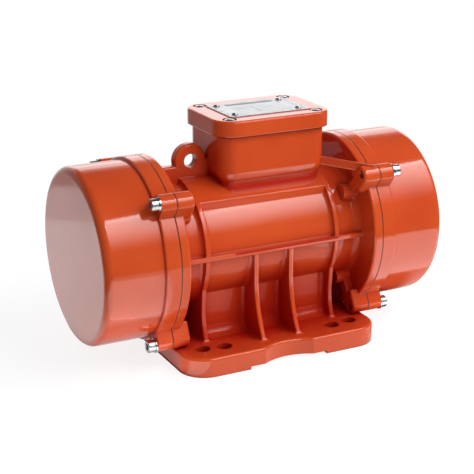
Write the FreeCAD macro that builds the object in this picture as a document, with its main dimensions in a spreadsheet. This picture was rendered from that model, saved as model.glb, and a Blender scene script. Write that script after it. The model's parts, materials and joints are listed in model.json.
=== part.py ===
import FreeCAD, Part
import math
import os
import types

import Sketcher

# Electric unbalance vibration motor. The shaft runs along X, the foot stands on Z = 0, and the terminal
# box is above. Every body is drawn about the shaft axis and then lifted to the axis height.

DIMENSIONS = {
    # casting: barrel and flanges
    "flange_radius": "75",
    "ground_clearance": "13",
    "barrel_half_length": "83",
    "flange_thickness": "8",
    "flange_land": "13",
    "barrel_radius": "50",
    "barrel_wall": "6.5",
    "neck_fillet": "6",
    "edge_round": "1.5",
    # casting: foot
    "foot_end_inset": "3",
    "foot_half_width": "82",
    "foot_thickness": "16",
    "foot_corner_radius": "22",
    "foot_edge_round": "2.5",
    "waist_half_length": "22",
    "waist_depth": "6",
    "relief_half_length": "35",
    "relief_depth": "2.5",
    "pedestal_half_width": "36",
    "pedestal_wall": "7",
    "pedestal_flare_radius": "9",
    "inner_bolt_length": "100",
    "inner_bolt_width": "125",
    "outer_bolt_length": "136",
    "outer_bolt_width": "120",
    "foot_hole_radius": "6.5",
    # casting: ribs
    "rib_height": "4.5",
    "rib_thickness": "4",
    "rib_root_radius": "3",
    "rib_edge_radius": "1.2",
    "long_rib_proud": "0.6",
    "ring_rib_inset": "24",
    "ring_rib_spread": "50",
    "ring_rib_waist": "45",
    "ring_rib_flare_height": "24",
    "ring_rib_flare_radius": "60",
    "ring_rib_leave_angle": "31",
    "mid_rib_place": "16",
    "mid_rib_spread": "69",
    "mid_rib_flare_height": "46",
    "mid_rib_flare_radius": "90",
    "roof_edge_height": "41",
    # casting: screw lugs
    "lug_rise": "7.6",
    "lug_crown": "5.2",
    "lug_crown_radius": "9",
    "lug_half_width": "7",
    "lug_root_spread": "3",
    "lug_root_depth": "5",
    "lug_depth": "15",
    "lug_end_round": "2",
    "upper_lug_angle": "41",
    "lower_lug_angle": "53",
    "gusset_thickness": "8",
    "shield_boss_radius": "6.5",
    "shield_boss_length": "13",
    # casting: terminal box
    "box_offset": "12.5",
    "box_half_length": "48",
    "box_half_width": "34",
    "box_corner_radius": "13",
    "box_belly_radius": "11.5",
    "box_wall": "4",
    "box_floor_rise": "10",
    "box_floor_thickness": "10.5",
    "box_depth": "29.9",
    "lid_screw_inset_long": "8.7",
    "lid_screw_inset_wide": "6.3",
    "lid_screw_boss_radius": "5",
    "strut_thickness": "5",
    "strut_height": "7",
    "strut_rise": "5",
    "wire_hole_radius": "7",
    # casting: lifting eye
    "eye_gap": "15",
    "eye_rise": "17.8",
    "eye_hole_radius": "5.75",
    "eye_radius": "14",
    "eye_thickness": "9",
    "eye_edge_round": "2",
    "eye_web_rise": "14.4",
    # weight covers
    "rim_step": "2.5",
    "rim_length": "13",
    "cover_length": "61",
    "cover_wall": "4",
    "cover_corner_radius": "6",
    "seal_section_radius": "1.2",
    "cover_screw_radius": "3",
    "cover_screw_head_radius": "5",
    "cover_screw_head_height": "6",
    "cover_screw_reach": "13",
    "washer_radius": "5.9",
    "washer_thickness": "1.4",
    # lid and rating plate
    "lid_overhang": "4",
    "lid_height": "12.9",
    "lid_top": "4.5",
    "lid_wall": "5",
    "lid_edge_round": "2",
    "gasket_thickness": "1.5",
    "lid_screw_radius": "2.5",
    "lid_screw_head_radius": "4.4",
    "lid_screw_head_height": "3",
    "lid_screw_reach": "14",
    "lid_recess_radius": "5.6",
    "lid_recess_depth": "2.4",
    "plate_half_length": "36",
    "plate_half_width": "24",
    "plate_corner_radius": "2",
    "plate_thickness": "0.8",
    "rivet_inset": "7",
    "rivet_radius": "1.6",
    "rivet_head_radius": "2.6",
    "rivet_head_height": "1.6",
    # cable gland
    "gland_height": "14.5",
    "gland_boss_radius": "14",
    "gland_boss_length": "3",
    "gland_thread_radius": "10",
    "gland_hex_radius": "15",
    "gland_hex_length": "7",
    "gland_neck_radius": "8.5",
    "gland_neck_length": "6",
    "gland_cap_radius": "13",
    "gland_cap_length": "18",
    "gland_cap_wall": "3",
    "gland_bore_radius": "6.5",
    "gland_seal_bore_radius": "5",
    # terminal board
    "board_half_length": "27",
    "board_half_width": "15",
    "board_thickness": "7",
    "board_edge": "2",
    "stud_pitch": "15",
    "stud_row_half_pitch": "8",
    "stud_radius": "2",
    "stud_height": "11",
    "nut_radius": "4",
    "nut_height": "3.2",
    "earth_screw_place": "34",
    "earth_screw_radius": "2.5",
    "earth_head_radius": "4.5",
    "earth_head_height": "3",
    "earth_screw_reach": "4",
    # stator and rotor
    "stack_half_length": "32",
    "rotor_radius": "27.5",
    "air_gap": "0.5",
    "stator_yoke": "5.5",
    "slot_width": "4",
    "slot_clearance": "0.3",
    "coil_overhang": "14",
    "coil_round": "4",
    "rotor_bar_radius": "2.4",
    "rotor_bar_depth": "1.3",
    "end_ring_length": "8",
    "end_ring_height": "9",
    "shaft_radius": "16",
    "shaft_shoulder_radius": "15",
    # bearings
    "recess_depth": "3",
    "shield_thickness": "7",
    "shield_lip": "2",
    "shield_lip_radius": "25.5",
    "shield_screw_circle": "53",
    "shield_screw_radius": "2.5",
    "shield_screw_reach": "8",
    "shield_head_radius": "4.2",
    "shield_head_height": "5",
    "bearing_outer_radius": "31",
    "bearing_bore_radius": "12.5",
    "bearing_width": "17",
    "outer_race_radius": "27",
    "inner_race_radius": "17",
    "race_rib": "1.5",
    "race_rib_width": "3",
    "roller_clearance": "0.25",
    "cage_thickness": "3",
    "cage_end": "1.5",
    "cap_overlap": "8",
    "cap_thickness": "3.5",
    "cap_screw_radius": "2",
    "cap_screw_reach": "5",
    "cap_head_radius": "3.5",
    "cap_head_height": "2.2",
    "spacer_length": "6",
    "spacer_wall": "3.5",
    # unbalance weights
    "weight_clearance": "8.5",
    "weight_half_angle": "65",
    "weight_hub_wall": "9.5",
    "weight_gap": "0.5",
    "clamp_ear_half_width": "18",
    "clamp_ear_height": "14.5",
    "clamp_slit": "2.5",
    "clamp_screw_radius": "3",
    "clamp_screw_wall": "4",
    "clamp_head_radius": "5",
    "clamp_head_height": "6",
    "key_width": "8",
    "key_height": "7",
    "key_depth": "4",
    "shaft_tail": "5",
    "shaft_end_gap": "5",
    "ring_thickness": "1.5",
    "ring_depth": "1",
    "ring_height": "3",
    # fits
    "seat_gap": "0.03",
    "screw_gap": "0.1",
    "running_gap": "0.3",
    "bore_gap": "0.05",
}

STATOR_SLOTS = 24
ROTOR_BARS = 18
ROLLERS = 11
CORNERS = ((1, 1), (-1, 1), (1, -1), (-1, -1))
RIVET_CROWN = 0.9  # the share of a rivet head's height that is rounded
CLOSE = 1e-3  # two places nearer than this are the same place

doc = FreeCAD.newDocument("vibration_motor")
sheet = doc.addObject("Spreadsheet::Sheet", "Sizes")
for row, (name, text) in enumerate(DIMENSIONS.items(), start=1):
    sheet.set(f"A{row}", name)
    sheet.set(f"B{row}", text)
    sheet.setAlias(f"B{row}", name)
doc.recompute()


class Size:
    """A number together with the sheet expression that gives it."""

    def __init__(self, value, text):
        self.value = value
        self.text = text

    def __add__(self, other):
        other = as_size(other)
        return Size(self.value + other.value, f"({self.text} + {other.text})")

    def __sub__(self, other):
        other = as_size(other)
        return Size(self.value - other.value, f"({self.text} - {other.text})")

    def __mul__(self, other):
        other = as_size(other)
        return Size(self.value * other.value, f"({self.text} * {other.text})")

    def __truediv__(self, other):
        other = as_size(other)
        return Size(self.value / other.value, f"({self.text} / {other.text})")

    def __neg__(self):
        return Size(-self.value, f"(0 - {self.text})")

    __radd__ = __add__
    __rmul__ = __mul__

    def __rsub__(self, other):
        return as_size(other) - self


def as_size(thing):
    return thing if isinstance(thing, Size) else Size(float(thing), f"({float(thing)!r})")


def sine(angle):
    return Size(math.sin(math.radians(angle.value)), f"sin({angle.text} * 1 deg)")


def cosine(angle):
    return Size(math.cos(math.radians(angle.value)), f"cos({angle.text} * 1 deg)")


def root(square):
    return Size(math.sqrt(square.value), f"sqrt({square.text})")


S = types.SimpleNamespace(**{name: Size(float(text), f"Sizes.{name}") for name, text in DIMENSIONS.items()})

# Places shared by several pieces, measured from the shaft axis and from the middle of the motor

axis_height = S.flange_radius + S.ground_clearance
foot_top = S.foot_thickness - axis_height
inside_foot = S.foot_thickness / 2 - axis_height
seam = S.barrel_half_length + S.flange_thickness
inside_flange = S.barrel_half_length + S.flange_thickness / 2
foot_half_length = seam - S.foot_end_inset
bore_radius = S.barrel_radius - S.barrel_wall
rib_radius = S.barrel_radius + S.rib_height
ring_rib_place = S.barrel_half_length - S.ring_rib_inset
recess_radius = S.flange_radius - S.flange_land
shield_seat = seam - S.recess_depth
seal_ring_radius = S.flange_radius - S.flange_land / 2

lug_circle = S.flange_radius + S.lug_rise
lug_angles = [S.upper_lug_angle, 180 - S.upper_lug_angle, -S.lower_lug_angle, 180 + S.lower_lug_angle]

cover_radius = S.flange_radius - S.rim_step
cover_inside_radius = cover_radius - S.cover_wall
cover_end = seam + S.cover_length
lug_face = seam + S.rim_length

box_floor = S.barrel_radius + S.box_floor_rise
box_rim = box_floor + S.box_depth
lid_bottom = box_rim + S.gasket_thickness
lid_top_face = lid_bottom + S.lid_height
lid_screw_long = S.box_half_length - S.lid_screw_inset_long
lid_screw_wide = S.box_half_width - S.lid_screw_inset_wide

bearing_face = shield_seat + S.shield_thickness
bearing_start = bearing_face - S.bearing_width
roller_circle = (S.outer_race_radius + S.inner_race_radius) / 2
roller_radius = (S.outer_race_radius - S.inner_race_radius) / 2 - S.roller_clearance
roller_start = bearing_start + S.race_rib_width + S.running_gap
roller_end = bearing_face - S.race_rib_width - S.running_gap
cap_radius = S.bearing_outer_radius + S.cap_overlap
cap_screw_circle = S.bearing_outer_radius + S.cap_overlap / 2

weight_start = bearing_face + S.spacer_length
shaft_end = cover_end - S.cover_wall - S.shaft_end_gap
weights_end = shaft_end - S.shaft_tail
weight_thickness = (weights_end - weight_start - S.weight_gap) / 2
fixed_end = weight_start + weight_thickness
adjust_start = fixed_end + S.weight_gap
weight_radius = cover_inside_radius - S.weight_clearance
weight_hub_radius = S.bearing_bore_radius + S.weight_hub_wall
clamp_height = S.bearing_bore_radius + S.clamp_screw_wall + S.clamp_screw_radius

stator_inner_radius = S.rotor_radius + S.air_gap
slot_outer_radius = bore_radius - S.stator_yoke
rotor_bar_circle = S.rotor_radius - S.rotor_bar_radius - S.rotor_bar_depth

gland_wall_face = S.box_half_width + S.gland_boss_length
gland_axis = box_floor + S.gland_height
gland_cap_start = gland_wall_face + S.gland_hex_length
gland_cap_end = gland_cap_start + S.gland_cap_length


# Sketch helpers


def bind(thing, path, size):
    thing.setExpression(path, as_size(size).text)


def new_body(label, side="right"):
    """A body drawn about the shaft axis; the left one is the right one turned about the upright axis."""
    body = doc.addObject("PartDesign::Body", label)
    body.Label = label
    body.AllowCompound = True
    turn = 180 if side == "left" else 0
    body.Placement = FreeCAD.Placement(FreeCAD.Vector(), FreeCAD.Rotation(FreeCAD.Vector(0, 0, 1), turn))
    bind(body, "Placement.Base.z", axis_height)
    return body


def new_sketch(body, plane, level):
    """A sketch on one of the body's origin planes, moved along the plane's normal to a level."""
    sketch = body.newObject("Sketcher::SketchObject", "Sketch")
    support = next(item for item in body.Origin.OriginFeatures if item.Role == plane)
    sketch.AttachmentSupport = [(support, "")]
    sketch.MapMode = "FlatFace"
    bind(sketch, "AttachmentOffset.Base.z", level)
    return sketch


def constrain(sketch, rules):
    """Add constraints; each rule is (kind, arguments, size) with the size bound to the sheet, or None."""
    first = sketch.ConstraintCount
    values = [() if size is None else (as_size(size).value,) for _, _, size in rules]
    sketch.addConstraint([
        Sketcher.Constraint(kind, *arguments, *value)
        for (kind, arguments, _), value in zip(rules, values)
    ])
    for number, (_, _, size) in enumerate(rules, start=first):
        if size is not None:
            bind(sketch, f"Constraints[{number}]", size)


def place_rules(element, vertex, across, up):
    return [
        ("DistanceX", (-1, 1, element, vertex), across),
        ("DistanceY", (-1, 1, element, vertex), up),
    ]


def flat_point(across, up):
    return FreeCAD.Vector(as_size(across).value, as_size(up).value, 0)


def arc_between(start, end, radius, side):
    """The short arc from start to end; its centre is left of that run for side 1, right of it for -1."""
    run = end - start
    leftward = FreeCAD.Vector(-run.y, run.x, 0).normalize()
    rise = math.sqrt(max(radius**2 - run.Length**2 / 4, 0))
    centre = (start + end) * 0.5 + leftward * (rise * side)
    first, last = (start, end) if side > 0 else (end, start)
    begin = math.atan2(first.y - centre.y, first.x - centre.x)
    finish = math.atan2(last.y - centre.y, last.x - centre.x)
    if finish < begin:
        finish += 2 * math.pi
    return Part.ArcOfCircle(Part.Circle(centre, FreeCAD.Vector(0, 0, 1), radius), begin, finish)


def outline(*corners):
    """A closed outline; a corner (across, up) starts a line, (across, up, radius, side) starts an arc."""

    def draw(sketch):
        rules = []
        first = sketch.GeometryCount
        count = len(corners)
        ends = []
        for number, corner in enumerate(corners):
            start = flat_point(*corner[:2])
            end = flat_point(*corners[(number + 1) % count][:2])
            element = first + number
            if len(corner) == 2:
                sketch.addGeometry(Part.LineSegment(start, end), False)
                ends.append((element, 1, 2))
            else:
                radius, side = corner[2:]
                sketch.addGeometry(arc_between(start, end, as_size(radius).value, side), False)
                ends.append((element, 1, 2) if side > 0 else (element, 2, 1))
                rules.append(("Radius", (element,), radius))
        for number, corner in enumerate(corners):
            element, begin, finish = ends[number]
            following, following_begin, _ = ends[(number + 1) % count]
            rules.append(("Coincident", (element, finish, following, following_begin), None))
            rules.extend(place_rules(element, begin, corner[0], corner[1]))
        constrain(sketch, rules)

    return draw


def circle(across, up, radius):
    def draw(sketch):
        element = sketch.GeometryCount
        ring = Part.Circle(flat_point(across, up), FreeCAD.Vector(0, 0, 1), as_size(radius).value)
        sketch.addGeometry(ring, False)
        constrain(sketch, place_rules(element, 3, across, up) + [("Radius", (element,), radius)])

    return draw


def rectangle(left, low, right, high):
    return outline((left, low), (right, low), (right, high), (left, high))


def rounded_rectangle(middle, half_length, half_width, radius):
    """A rectangle with round corners, centred on the shaft's plane and on a place along it."""
    left = middle - half_length
    right = middle + half_length
    return outline(
        (left + radius, -half_width),
        (right - radius, -half_width, radius, 1),
        (right, radius - half_width),
        (right, half_width - radius, radius, 1),
        (right - radius, half_width),
        (left + radius, half_width, radius, 1),
        (left, half_width - radius),
        (left, radius - half_width, radius, 1),
    )


def hexagon(across, up, corner_radius):
    turns = [math.radians(60 * number) for number in range(6)]
    return outline(*[(across + corner_radius * math.cos(t), up + corner_radius * math.sin(t)) for t in turns])


def around(count, radius):
    """Places spread evenly on a circle about the shaft."""
    turns = [2 * math.pi * number / count for number in range(count)]
    return [(radius * math.cos(turn), radius * math.sin(turn)) for turn in turns]


def turned(outward, sideways, angle):
    """A place given outward from the shaft along a direction, and sideways from that direction."""
    return (
        outward * cosine(angle) - sideways * sine(angle),
        outward * sine(angle) + sideways * cosine(angle),
    )


# Feature helpers


def add_feature(body, kind, sketch, drawings):
    for draw in drawings:
        draw(sketch)
    feature = body.newObject(f"PartDesign::{kind}", kind)
    feature.Profile = sketch
    feature.Refine = False
    return feature


def pad(body, plane, start, end, *drawings):
    feature = add_feature(body, "Pad", new_sketch(body, plane, start), drawings)
    bind(feature, "Length", end - start)
    return feature


def pocket(body, plane, start, end, *drawings):
    feature = add_feature(body, "Pocket", new_sketch(body, plane, end), drawings)
    bind(feature, "Length", end - start)
    return feature


def spin(body, kind, *drawings):
    """A full turn of an outline drawn as (along the shaft, out from it): a Revolution adds, a Groove cuts."""
    feature = add_feature(body, kind, new_sketch(body, "XZ_Plane", 0), drawings)
    feature.ReferenceAxis = (feature.Profile[0], ["H_Axis"])
    feature.Angle = 360
    return feature


def round_edges(body, feature, radius, choose):
    """A fillet on the feature's edges that the test chooses."""
    doc.recompute()
    names = [f"Edge{number}" for number, edge in enumerate(feature.Shape.Edges, start=1) if choose(edge)]
    fillet = body.newObject("PartDesign::Fillet", "Fillet")
    fillet.Base = (feature, names)
    fillet.Refine = False
    bind(fillet, "Radius", radius)
    return fillet


def at_height(height):
    """A test for edges that lie flat at a height above the shaft axis."""

    def choose(edge):
        box = edge.BoundBox
        return abs(box.ZMin - height.value) < CLOSE and abs(box.ZMax - height.value) < CLOSE

    return choose


def on_circle(radius):
    """A test for edges that are arcs of a radius."""

    def choose(edge):
        curve = edge.Curve
        return curve.TypeId == "Part::GeomCircle" and abs(curve.Radius - radius.value) < CLOSE

    return choose


def ring(inner, outer, start, end):
    """The outline of a plain ring about the shaft."""
    return rectangle(start, inner, end, outer)


# Motor body


def lug_outline(angle):
    """A lug with sloping sides and a crowned top, standing on the flange edge."""
    base = S.flange_radius - S.lug_root_depth
    crown = S.lug_crown_radius
    crown_sag = crown - root(crown * crown - S.lug_half_width * S.lug_half_width)
    shoulder = lug_circle + S.lug_crown - crown_sag
    base_half = S.lug_half_width + S.lug_root_spread
    return outline(
        turned(base, -base_half, angle),
        (*turned(shoulder, -S.lug_half_width, angle), S.lug_crown_radius, 1),
        turned(shoulder, S.lug_half_width, angle),
        turned(base, base_half, angle),
    )


def add_lugs(body):
    """The flange lugs at both ends; their inner ends are rounded, apart from the root."""
    root_line = (S.flange_radius - S.lug_root_depth).value
    lug_start = seam - S.lug_depth
    for start, end, inner in ((lug_start, seam, lug_start), (-seam, -lug_start, -lug_start)):
        lugs = pad(body, "YZ_Plane", start, end, *[lug_outline(angle) for angle in lug_angles])

        def at_inner_end(edge):
            box = edge.BoundBox
            middle = edge.CenterOfMass
            level = box.XLength < CLOSE and abs(box.XMin - inner.value) < CLOSE
            return level and math.hypot(middle.y, middle.z) > root_line + CLOSE

        round_edges(body, lugs, S.lug_end_round, at_inner_end)


def lug_holes(radius):
    return [circle(*turned(lug_circle, as_size(0), angle), radius) for angle in lug_angles]


def foot_outline():
    """The foot plate in plan: round corners, and a shallow waist in each long side."""
    length = foot_half_length
    width = S.foot_half_width
    corner = S.foot_corner_radius
    waist = S.waist_half_length
    waist_radius = (waist * waist + S.waist_depth * S.waist_depth) / (2 * S.waist_depth)
    return outline(
        (corner - length, -width),
        (-waist, -width, waist_radius, -1),
        (waist, -width),
        (length - corner, -width, corner, 1),
        (length, corner - width),
        (length, width - corner, corner, 1),
        (length - corner, width),
        (waist, width, waist_radius, -1),
        (-waist, width),
        (corner - length, width, corner, 1),
        (-length, width - corner),
        (-length, corner - width, corner, 1),
    )


def barrel_outline():
    length = S.barrel_half_length
    fillet = S.neck_fillet
    edge = S.edge_round
    radius = S.barrel_radius
    return outline(
        (-seam, 0),
        (seam, 0),
        (seam, S.flange_radius),
        (length + edge, S.flange_radius, edge, 1),
        (length, S.flange_radius - edge),
        (length, radius + fillet, fillet, -1),
        (length - fillet, radius),
        (fillet - length, radius, fillet, -1),
        (-length, radius + fillet),
        (-length, S.flange_radius - edge, edge, 1),
        (-length - edge, S.flange_radius),
        (-seam, S.flange_radius),
    )


def ring_rib_outline():
    """A ring rib: round over the barrel, then two legs that flare into the foot."""
    leave_across = rib_radius * cosine(S.ring_rib_leave_angle)
    leave_up = -rib_radius * sine(S.ring_rib_leave_angle)
    knee = foot_top + S.ring_rib_flare_height
    flare = S.ring_rib_flare_radius
    return outline(
        (-S.ring_rib_spread, inside_foot),
        (S.ring_rib_spread, inside_foot),
        (S.ring_rib_spread, foot_top, flare, -1),
        (S.ring_rib_waist, knee),
        (leave_across, leave_up, rib_radius, 1),
        (0, rib_radius, rib_radius, 1),
        (-leave_across, leave_up),
        (-S.ring_rib_waist, knee, flare, -1),
        (-S.ring_rib_spread, foot_top),
    )


def mid_rib_outline():
    """A middle rib: upright below the axis, then a long flare out to the foot's edge."""
    knee = foot_top + S.mid_rib_flare_height
    flare = S.mid_rib_flare_radius
    return outline(
        (-S.mid_rib_spread, inside_foot),
        (S.mid_rib_spread, inside_foot),
        (S.mid_rib_spread, foot_top, flare, -1),
        (rib_radius, knee),
        (rib_radius, 0),
        (-rib_radius, 0),
        (-rib_radius, knee, flare, -1),
        (-S.mid_rib_spread, foot_top),
    )


def roof_outline():
    """The thicker top of the barrel that carries the terminal box, with upright sides."""
    edge_across = root(rib_radius * rib_radius - S.roof_edge_height * S.roof_edge_height)
    return outline(
        (-edge_across, S.roof_edge_height),
        (-edge_across, 0),
        (edge_across, 0),
        (edge_across, S.roof_edge_height, rib_radius, 1),
        (0, rib_radius, rib_radius, 1),
    )


def pedestal_outline():
    """The wall under the barrel, which sweeps out into the foot."""
    wall = S.pedestal_half_width
    flare = S.pedestal_flare_radius
    top = -S.rib_thickness / 2
    return outline(
        (-wall - flare, inside_foot),
        (wall + flare, inside_foot),
        (wall + flare, foot_top, flare, -1),
        (wall, foot_top + flare),
        (wall, top),
        (-wall, top),
        (-wall, foot_top + flare, flare, -1),
        (-wall - flare, foot_top),
    )


def add_box_walls(body):
    """The terminal box outside: upright walls that round under at the bottom."""
    bottom = box_floor - S.box_floor_thickness
    walls = pad(body, "XY_Plane", bottom, box_rim, rounded_rectangle(
        S.box_offset, S.box_half_length, S.box_half_width, S.box_corner_radius))
    round_edges(body, walls, S.box_belly_radius, at_height(bottom))


def eye_outline():
    """The lifting eye and its web, seen along Y, from the left flange to the box."""
    hole_across = S.box_offset - S.box_half_length - S.eye_gap
    hole_up = S.barrel_radius + S.eye_rise
    web_top = S.barrel_radius + S.eye_web_rise
    drop = hole_up - web_top
    left_across = hole_across - root(S.eye_radius * S.eye_radius - drop * drop)
    box_side = S.box_offset - S.box_half_length + S.box_wall / 2
    base = bore_radius
    return outline(
        (-inside_flange, base),
        (box_side, base),
        (box_side, hole_up),
        (hole_across + S.eye_radius, hole_up, S.eye_radius, 1),
        (hole_across, hole_up + S.eye_radius, S.eye_radius, 1),
        (left_across, web_top),
        (-inside_flange, web_top),
    )


def add_eye(body):
    """The lifting eye with softened edges; its hole is cut later."""
    half = S.eye_thickness / 2
    eye = pad(body, "XZ_Plane", -half, half, eye_outline())
    on_rim = on_circle(S.eye_radius)
    on_web = at_height(S.barrel_radius + S.eye_web_rise)

    def is_edge(edge):
        return edge.BoundBox.YLength < CLOSE and (on_rim(edge) or on_web(edge))

    round_edges(body, eye, S.eye_edge_round, is_edge)


def add_corner_strut(body, side):
    """A strut that falls from a corner of the box to the upper lug on the right flange."""
    lug_across, lug_up = turned(lug_circle, as_size(0), S.upper_lug_angle)
    half = S.strut_thickness / 2
    lug_top = lug_up + S.lug_half_width
    ends = (
        (S.box_offset + S.box_half_length - S.box_corner_radius,
         side * (S.box_half_width - S.box_corner_radius), lug_top + S.strut_rise),
        (inside_flange, side * lug_across, lug_top),
    )
    sections = []
    for along, across, top in ends:
        section = new_sketch(body, "YZ_Plane", along)
        rectangle(across - half, top - S.strut_height, across + half, top)(section)
        sections.append(section)
    strut = body.newObject("PartDesign::AdditiveLoft", "CornerStrut")
    strut.Profile = sections[0]
    strut.Sections = sections[1:]
    strut.Ruled = True
    strut.Refine = False


def add_ribs(body):
    """The pedestal, the ring ribs and the middle ribs, with cast roots and softened edges."""
    half = S.rib_thickness / 2
    pad(body, "YZ_Plane", -ring_rib_place, ring_rib_place, pedestal_outline())
    for place in (-ring_rib_place, ring_rib_place):
        ribs = pad(body, "YZ_Plane", place - half, place + half, ring_rib_outline())
    for place in (-S.mid_rib_place, S.mid_rib_place):
        ribs = pad(body, "YZ_Plane", place - half, place + half, mid_rib_outline())
    faces = [
        (sign * place + step).value
        for sign in (1, -1)
        for place in (ring_rib_place, S.mid_rib_place)
        for step in (-half, half)
    ]
    on_foot = at_height(foot_top)

    on_barrel = on_circle(S.barrel_radius)

    def on_side(edge):
        box = edge.BoundBox
        return box.XLength < CLOSE and any(abs(box.XMin - face) < CLOSE for face in faces)

    def at_end(edge):
        beyond_wall = abs(edge.CenterOfMass.y) > (S.pedestal_half_width + S.pedestal_flare_radius).value
        return abs(edge.BoundBox.XLength - S.rib_thickness.value) < CLOSE and beyond_wall

    def is_root(edge):
        return (on_side(edge) and (on_barrel(edge) or on_foot(edge))) or (on_foot(edge) and at_end(edge))

    def is_edge(edge):
        middle = edge.CenterOfMass
        outside = abs(middle.y) > S.ring_rib_waist.value - CLOSE and middle.z > foot_top.value + CLOSE
        return on_side(edge) and outside and not on_barrel(edge)

    rooted = round_edges(body, ribs, S.rib_root_radius, is_root)
    round_edges(body, rooted, S.rib_edge_radius, is_edge)


def build_motor_body():
    body = new_body("motor_body")
    add_box_walls(body)
    add_eye(body)
    add_lugs(body)
    foot = pad(body, "XY_Plane", -axis_height, foot_top, foot_outline())
    round_edges(body, foot, S.foot_edge_round, at_height(foot_top))
    spin(body, "Revolution", barrel_outline())
    add_ribs(body)
    half_rib = S.rib_thickness / 2
    long_rib_reach = rib_radius + S.long_rib_proud
    pad(body, "XY_Plane", -half_rib, half_rib, rectangle(
        -inside_flange, -long_rib_reach, inside_flange, long_rib_reach))
    pad(body, "YZ_Plane", -ring_rib_place, ring_rib_place, roof_outline())
    for side in (-1, 1):
        add_corner_strut(body, side)
    pad(body, "XZ_Plane", -gland_wall_face, -(S.box_half_width - S.box_wall),
        circle(S.box_offset, gland_axis, S.gland_boss_radius))
    half_gusset = S.gusset_thickness / 2
    gussets = [
        outline(*[turned(out, side, angle) for out, side in (
            (bore_radius, -half_gusset), (lug_circle, -half_gusset),
            (lug_circle, half_gusset), (bore_radius, half_gusset))])
        for angle in lug_angles
    ]
    bosses = [
        circle(*turned(S.shield_screw_circle, as_size(0), angle), S.shield_boss_radius)
        for angle in lug_angles
    ]
    gusset_start = seam - S.lug_depth
    boss_start = S.barrel_half_length - S.shield_boss_length
    for start, drawings in ((boss_start, bosses), (gusset_start, gussets)):
        pad(body, "YZ_Plane", start, inside_flange, *drawings)
        pad(body, "YZ_Plane", -inside_flange, -start, *drawings)
    cut_motor_body(body)


def cut_motor_body(body):
    """The bore and its recesses, the terminal chamber, the foot's underside and every hole."""
    groove_half = S.seal_section_radius + S.seat_gap
    seal_depth = 2 * groove_half
    spin(
        body,
        "Groove",
        outline(
            (-seam, 0), (seam, 0), (seam, recess_radius), (shield_seat, recess_radius),
            (shield_seat, bore_radius), (-shield_seat, bore_radius),
            (-shield_seat, recess_radius), (-seam, recess_radius),
        ),
        ring(seal_ring_radius - groove_half, seal_ring_radius + groove_half, seam - seal_depth, seam),
        ring(seal_ring_radius - groove_half, seal_ring_radius + groove_half, -seam, seal_depth - seam),
    )
    chamber = rounded_rectangle(
        S.box_offset,
        S.box_half_length - S.box_wall,
        S.box_half_width - S.box_wall,
        S.box_corner_radius - S.box_wall,
    )
    pocket(body, "XY_Plane", box_floor, box_rim, chamber)
    screw_places = lid_screw_places()
    boss = S.lid_screw_boss_radius
    pad(body, "XY_Plane", box_floor, box_rim, *[circle(x, y, boss) for x, y in screw_places])
    pocket(body, "XY_Plane", box_rim - S.lid_screw_reach - S.screw_gap, box_rim,
           *[circle(x, y, S.lid_screw_radius + S.screw_gap) for x, y in screw_places])
    pocket(body, "XY_Plane", bore_radius - S.barrel_wall, box_floor, circle(
        S.box_offset - S.box_half_length / 2 - S.wire_hole_radius, 0, S.wire_hole_radius))
    pocket(body, "XY_Plane", box_floor - S.earth_screw_reach - S.screw_gap, box_floor, circle(
        S.box_offset + S.earth_screw_place, 0, S.earth_screw_radius + S.screw_gap))
    pocket(body, "XZ_Plane", -gland_wall_face, S.box_wall - S.box_half_width + S.box_wall,
           circle(S.box_offset, gland_axis, S.gland_thread_radius + S.screw_gap))
    patterns = (
        (S.inner_bolt_length, S.inner_bolt_width),
        (S.outer_bolt_length, S.outer_bolt_width),
    )
    bolt_places = [(x * length / 2, y * width / 2) for length, width in patterns for x, y in CORNERS]
    pocket(body, "XY_Plane", -axis_height, foot_top, *[
        circle(x, y, S.foot_hole_radius) for x, y in bolt_places])
    pocket(body, "XY_Plane", -axis_height, S.relief_depth - axis_height, rectangle(
        -S.relief_half_length, -S.foot_half_width, S.relief_half_length, S.foot_half_width))
    pocket(body, "XY_Plane", -axis_height, -S.barrel_radius, rectangle(
        S.pedestal_wall - ring_rib_place, S.pedestal_wall - S.pedestal_half_width,
        ring_rib_place - S.pedestal_wall, S.pedestal_half_width - S.pedestal_wall))
    shield_holes = [
        circle(*turned(S.shield_screw_circle, as_size(0), angle), S.shield_screw_radius + S.screw_gap)
        for angle in lug_angles
    ]
    shield_hole_end = shield_seat - S.shield_screw_reach - S.screw_gap
    lug_start = seam - S.lug_depth
    for sign in (1, -1):
        near, far = (shield_hole_end, shield_seat) if sign > 0 else (-shield_seat, -shield_hole_end)
        pocket(body, "YZ_Plane", near, far, *shield_holes)
        near, far = (lug_start, seam) if sign > 0 else (-seam, -lug_start)
        pocket(body, "YZ_Plane", near, far, *lug_holes(S.cover_screw_radius + S.screw_gap))
    hole_across = S.box_offset - S.box_half_length - S.eye_gap
    pocket(body, "XZ_Plane", -S.eye_thickness / 2, S.eye_thickness / 2, circle(
        hole_across, S.barrel_radius + S.eye_rise, S.eye_hole_radius))


# Weight covers and what holds them


def build_cover(side):
    body = new_body(f"{side}_weight_cover", side)
    wall = S.cover_wall
    corner = S.cover_corner_radius
    inner_corner = corner - wall
    edge = S.edge_round
    spin(body, "Revolution", outline(
        (seam, cover_inside_radius),
        (cover_end - wall - inner_corner, cover_inside_radius, inner_corner, -1),
        (cover_end - wall, cover_inside_radius - inner_corner),
        (cover_end - wall, 0),
        (cover_end, 0),
        (cover_end, cover_radius - corner, corner, 1),
        (cover_end - corner, cover_radius),
        (lug_face, cover_radius),
        (lug_face, S.flange_radius - edge, edge, 1),
        (lug_face - edge, S.flange_radius),
        (seam, S.flange_radius),
    ))
    pad(body, "YZ_Plane", seam, lug_face, *[lug_outline(angle) for angle in lug_angles])
    pocket(body, "YZ_Plane", seam, lug_face, *lug_holes(S.cover_screw_radius + S.screw_gap))


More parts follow.
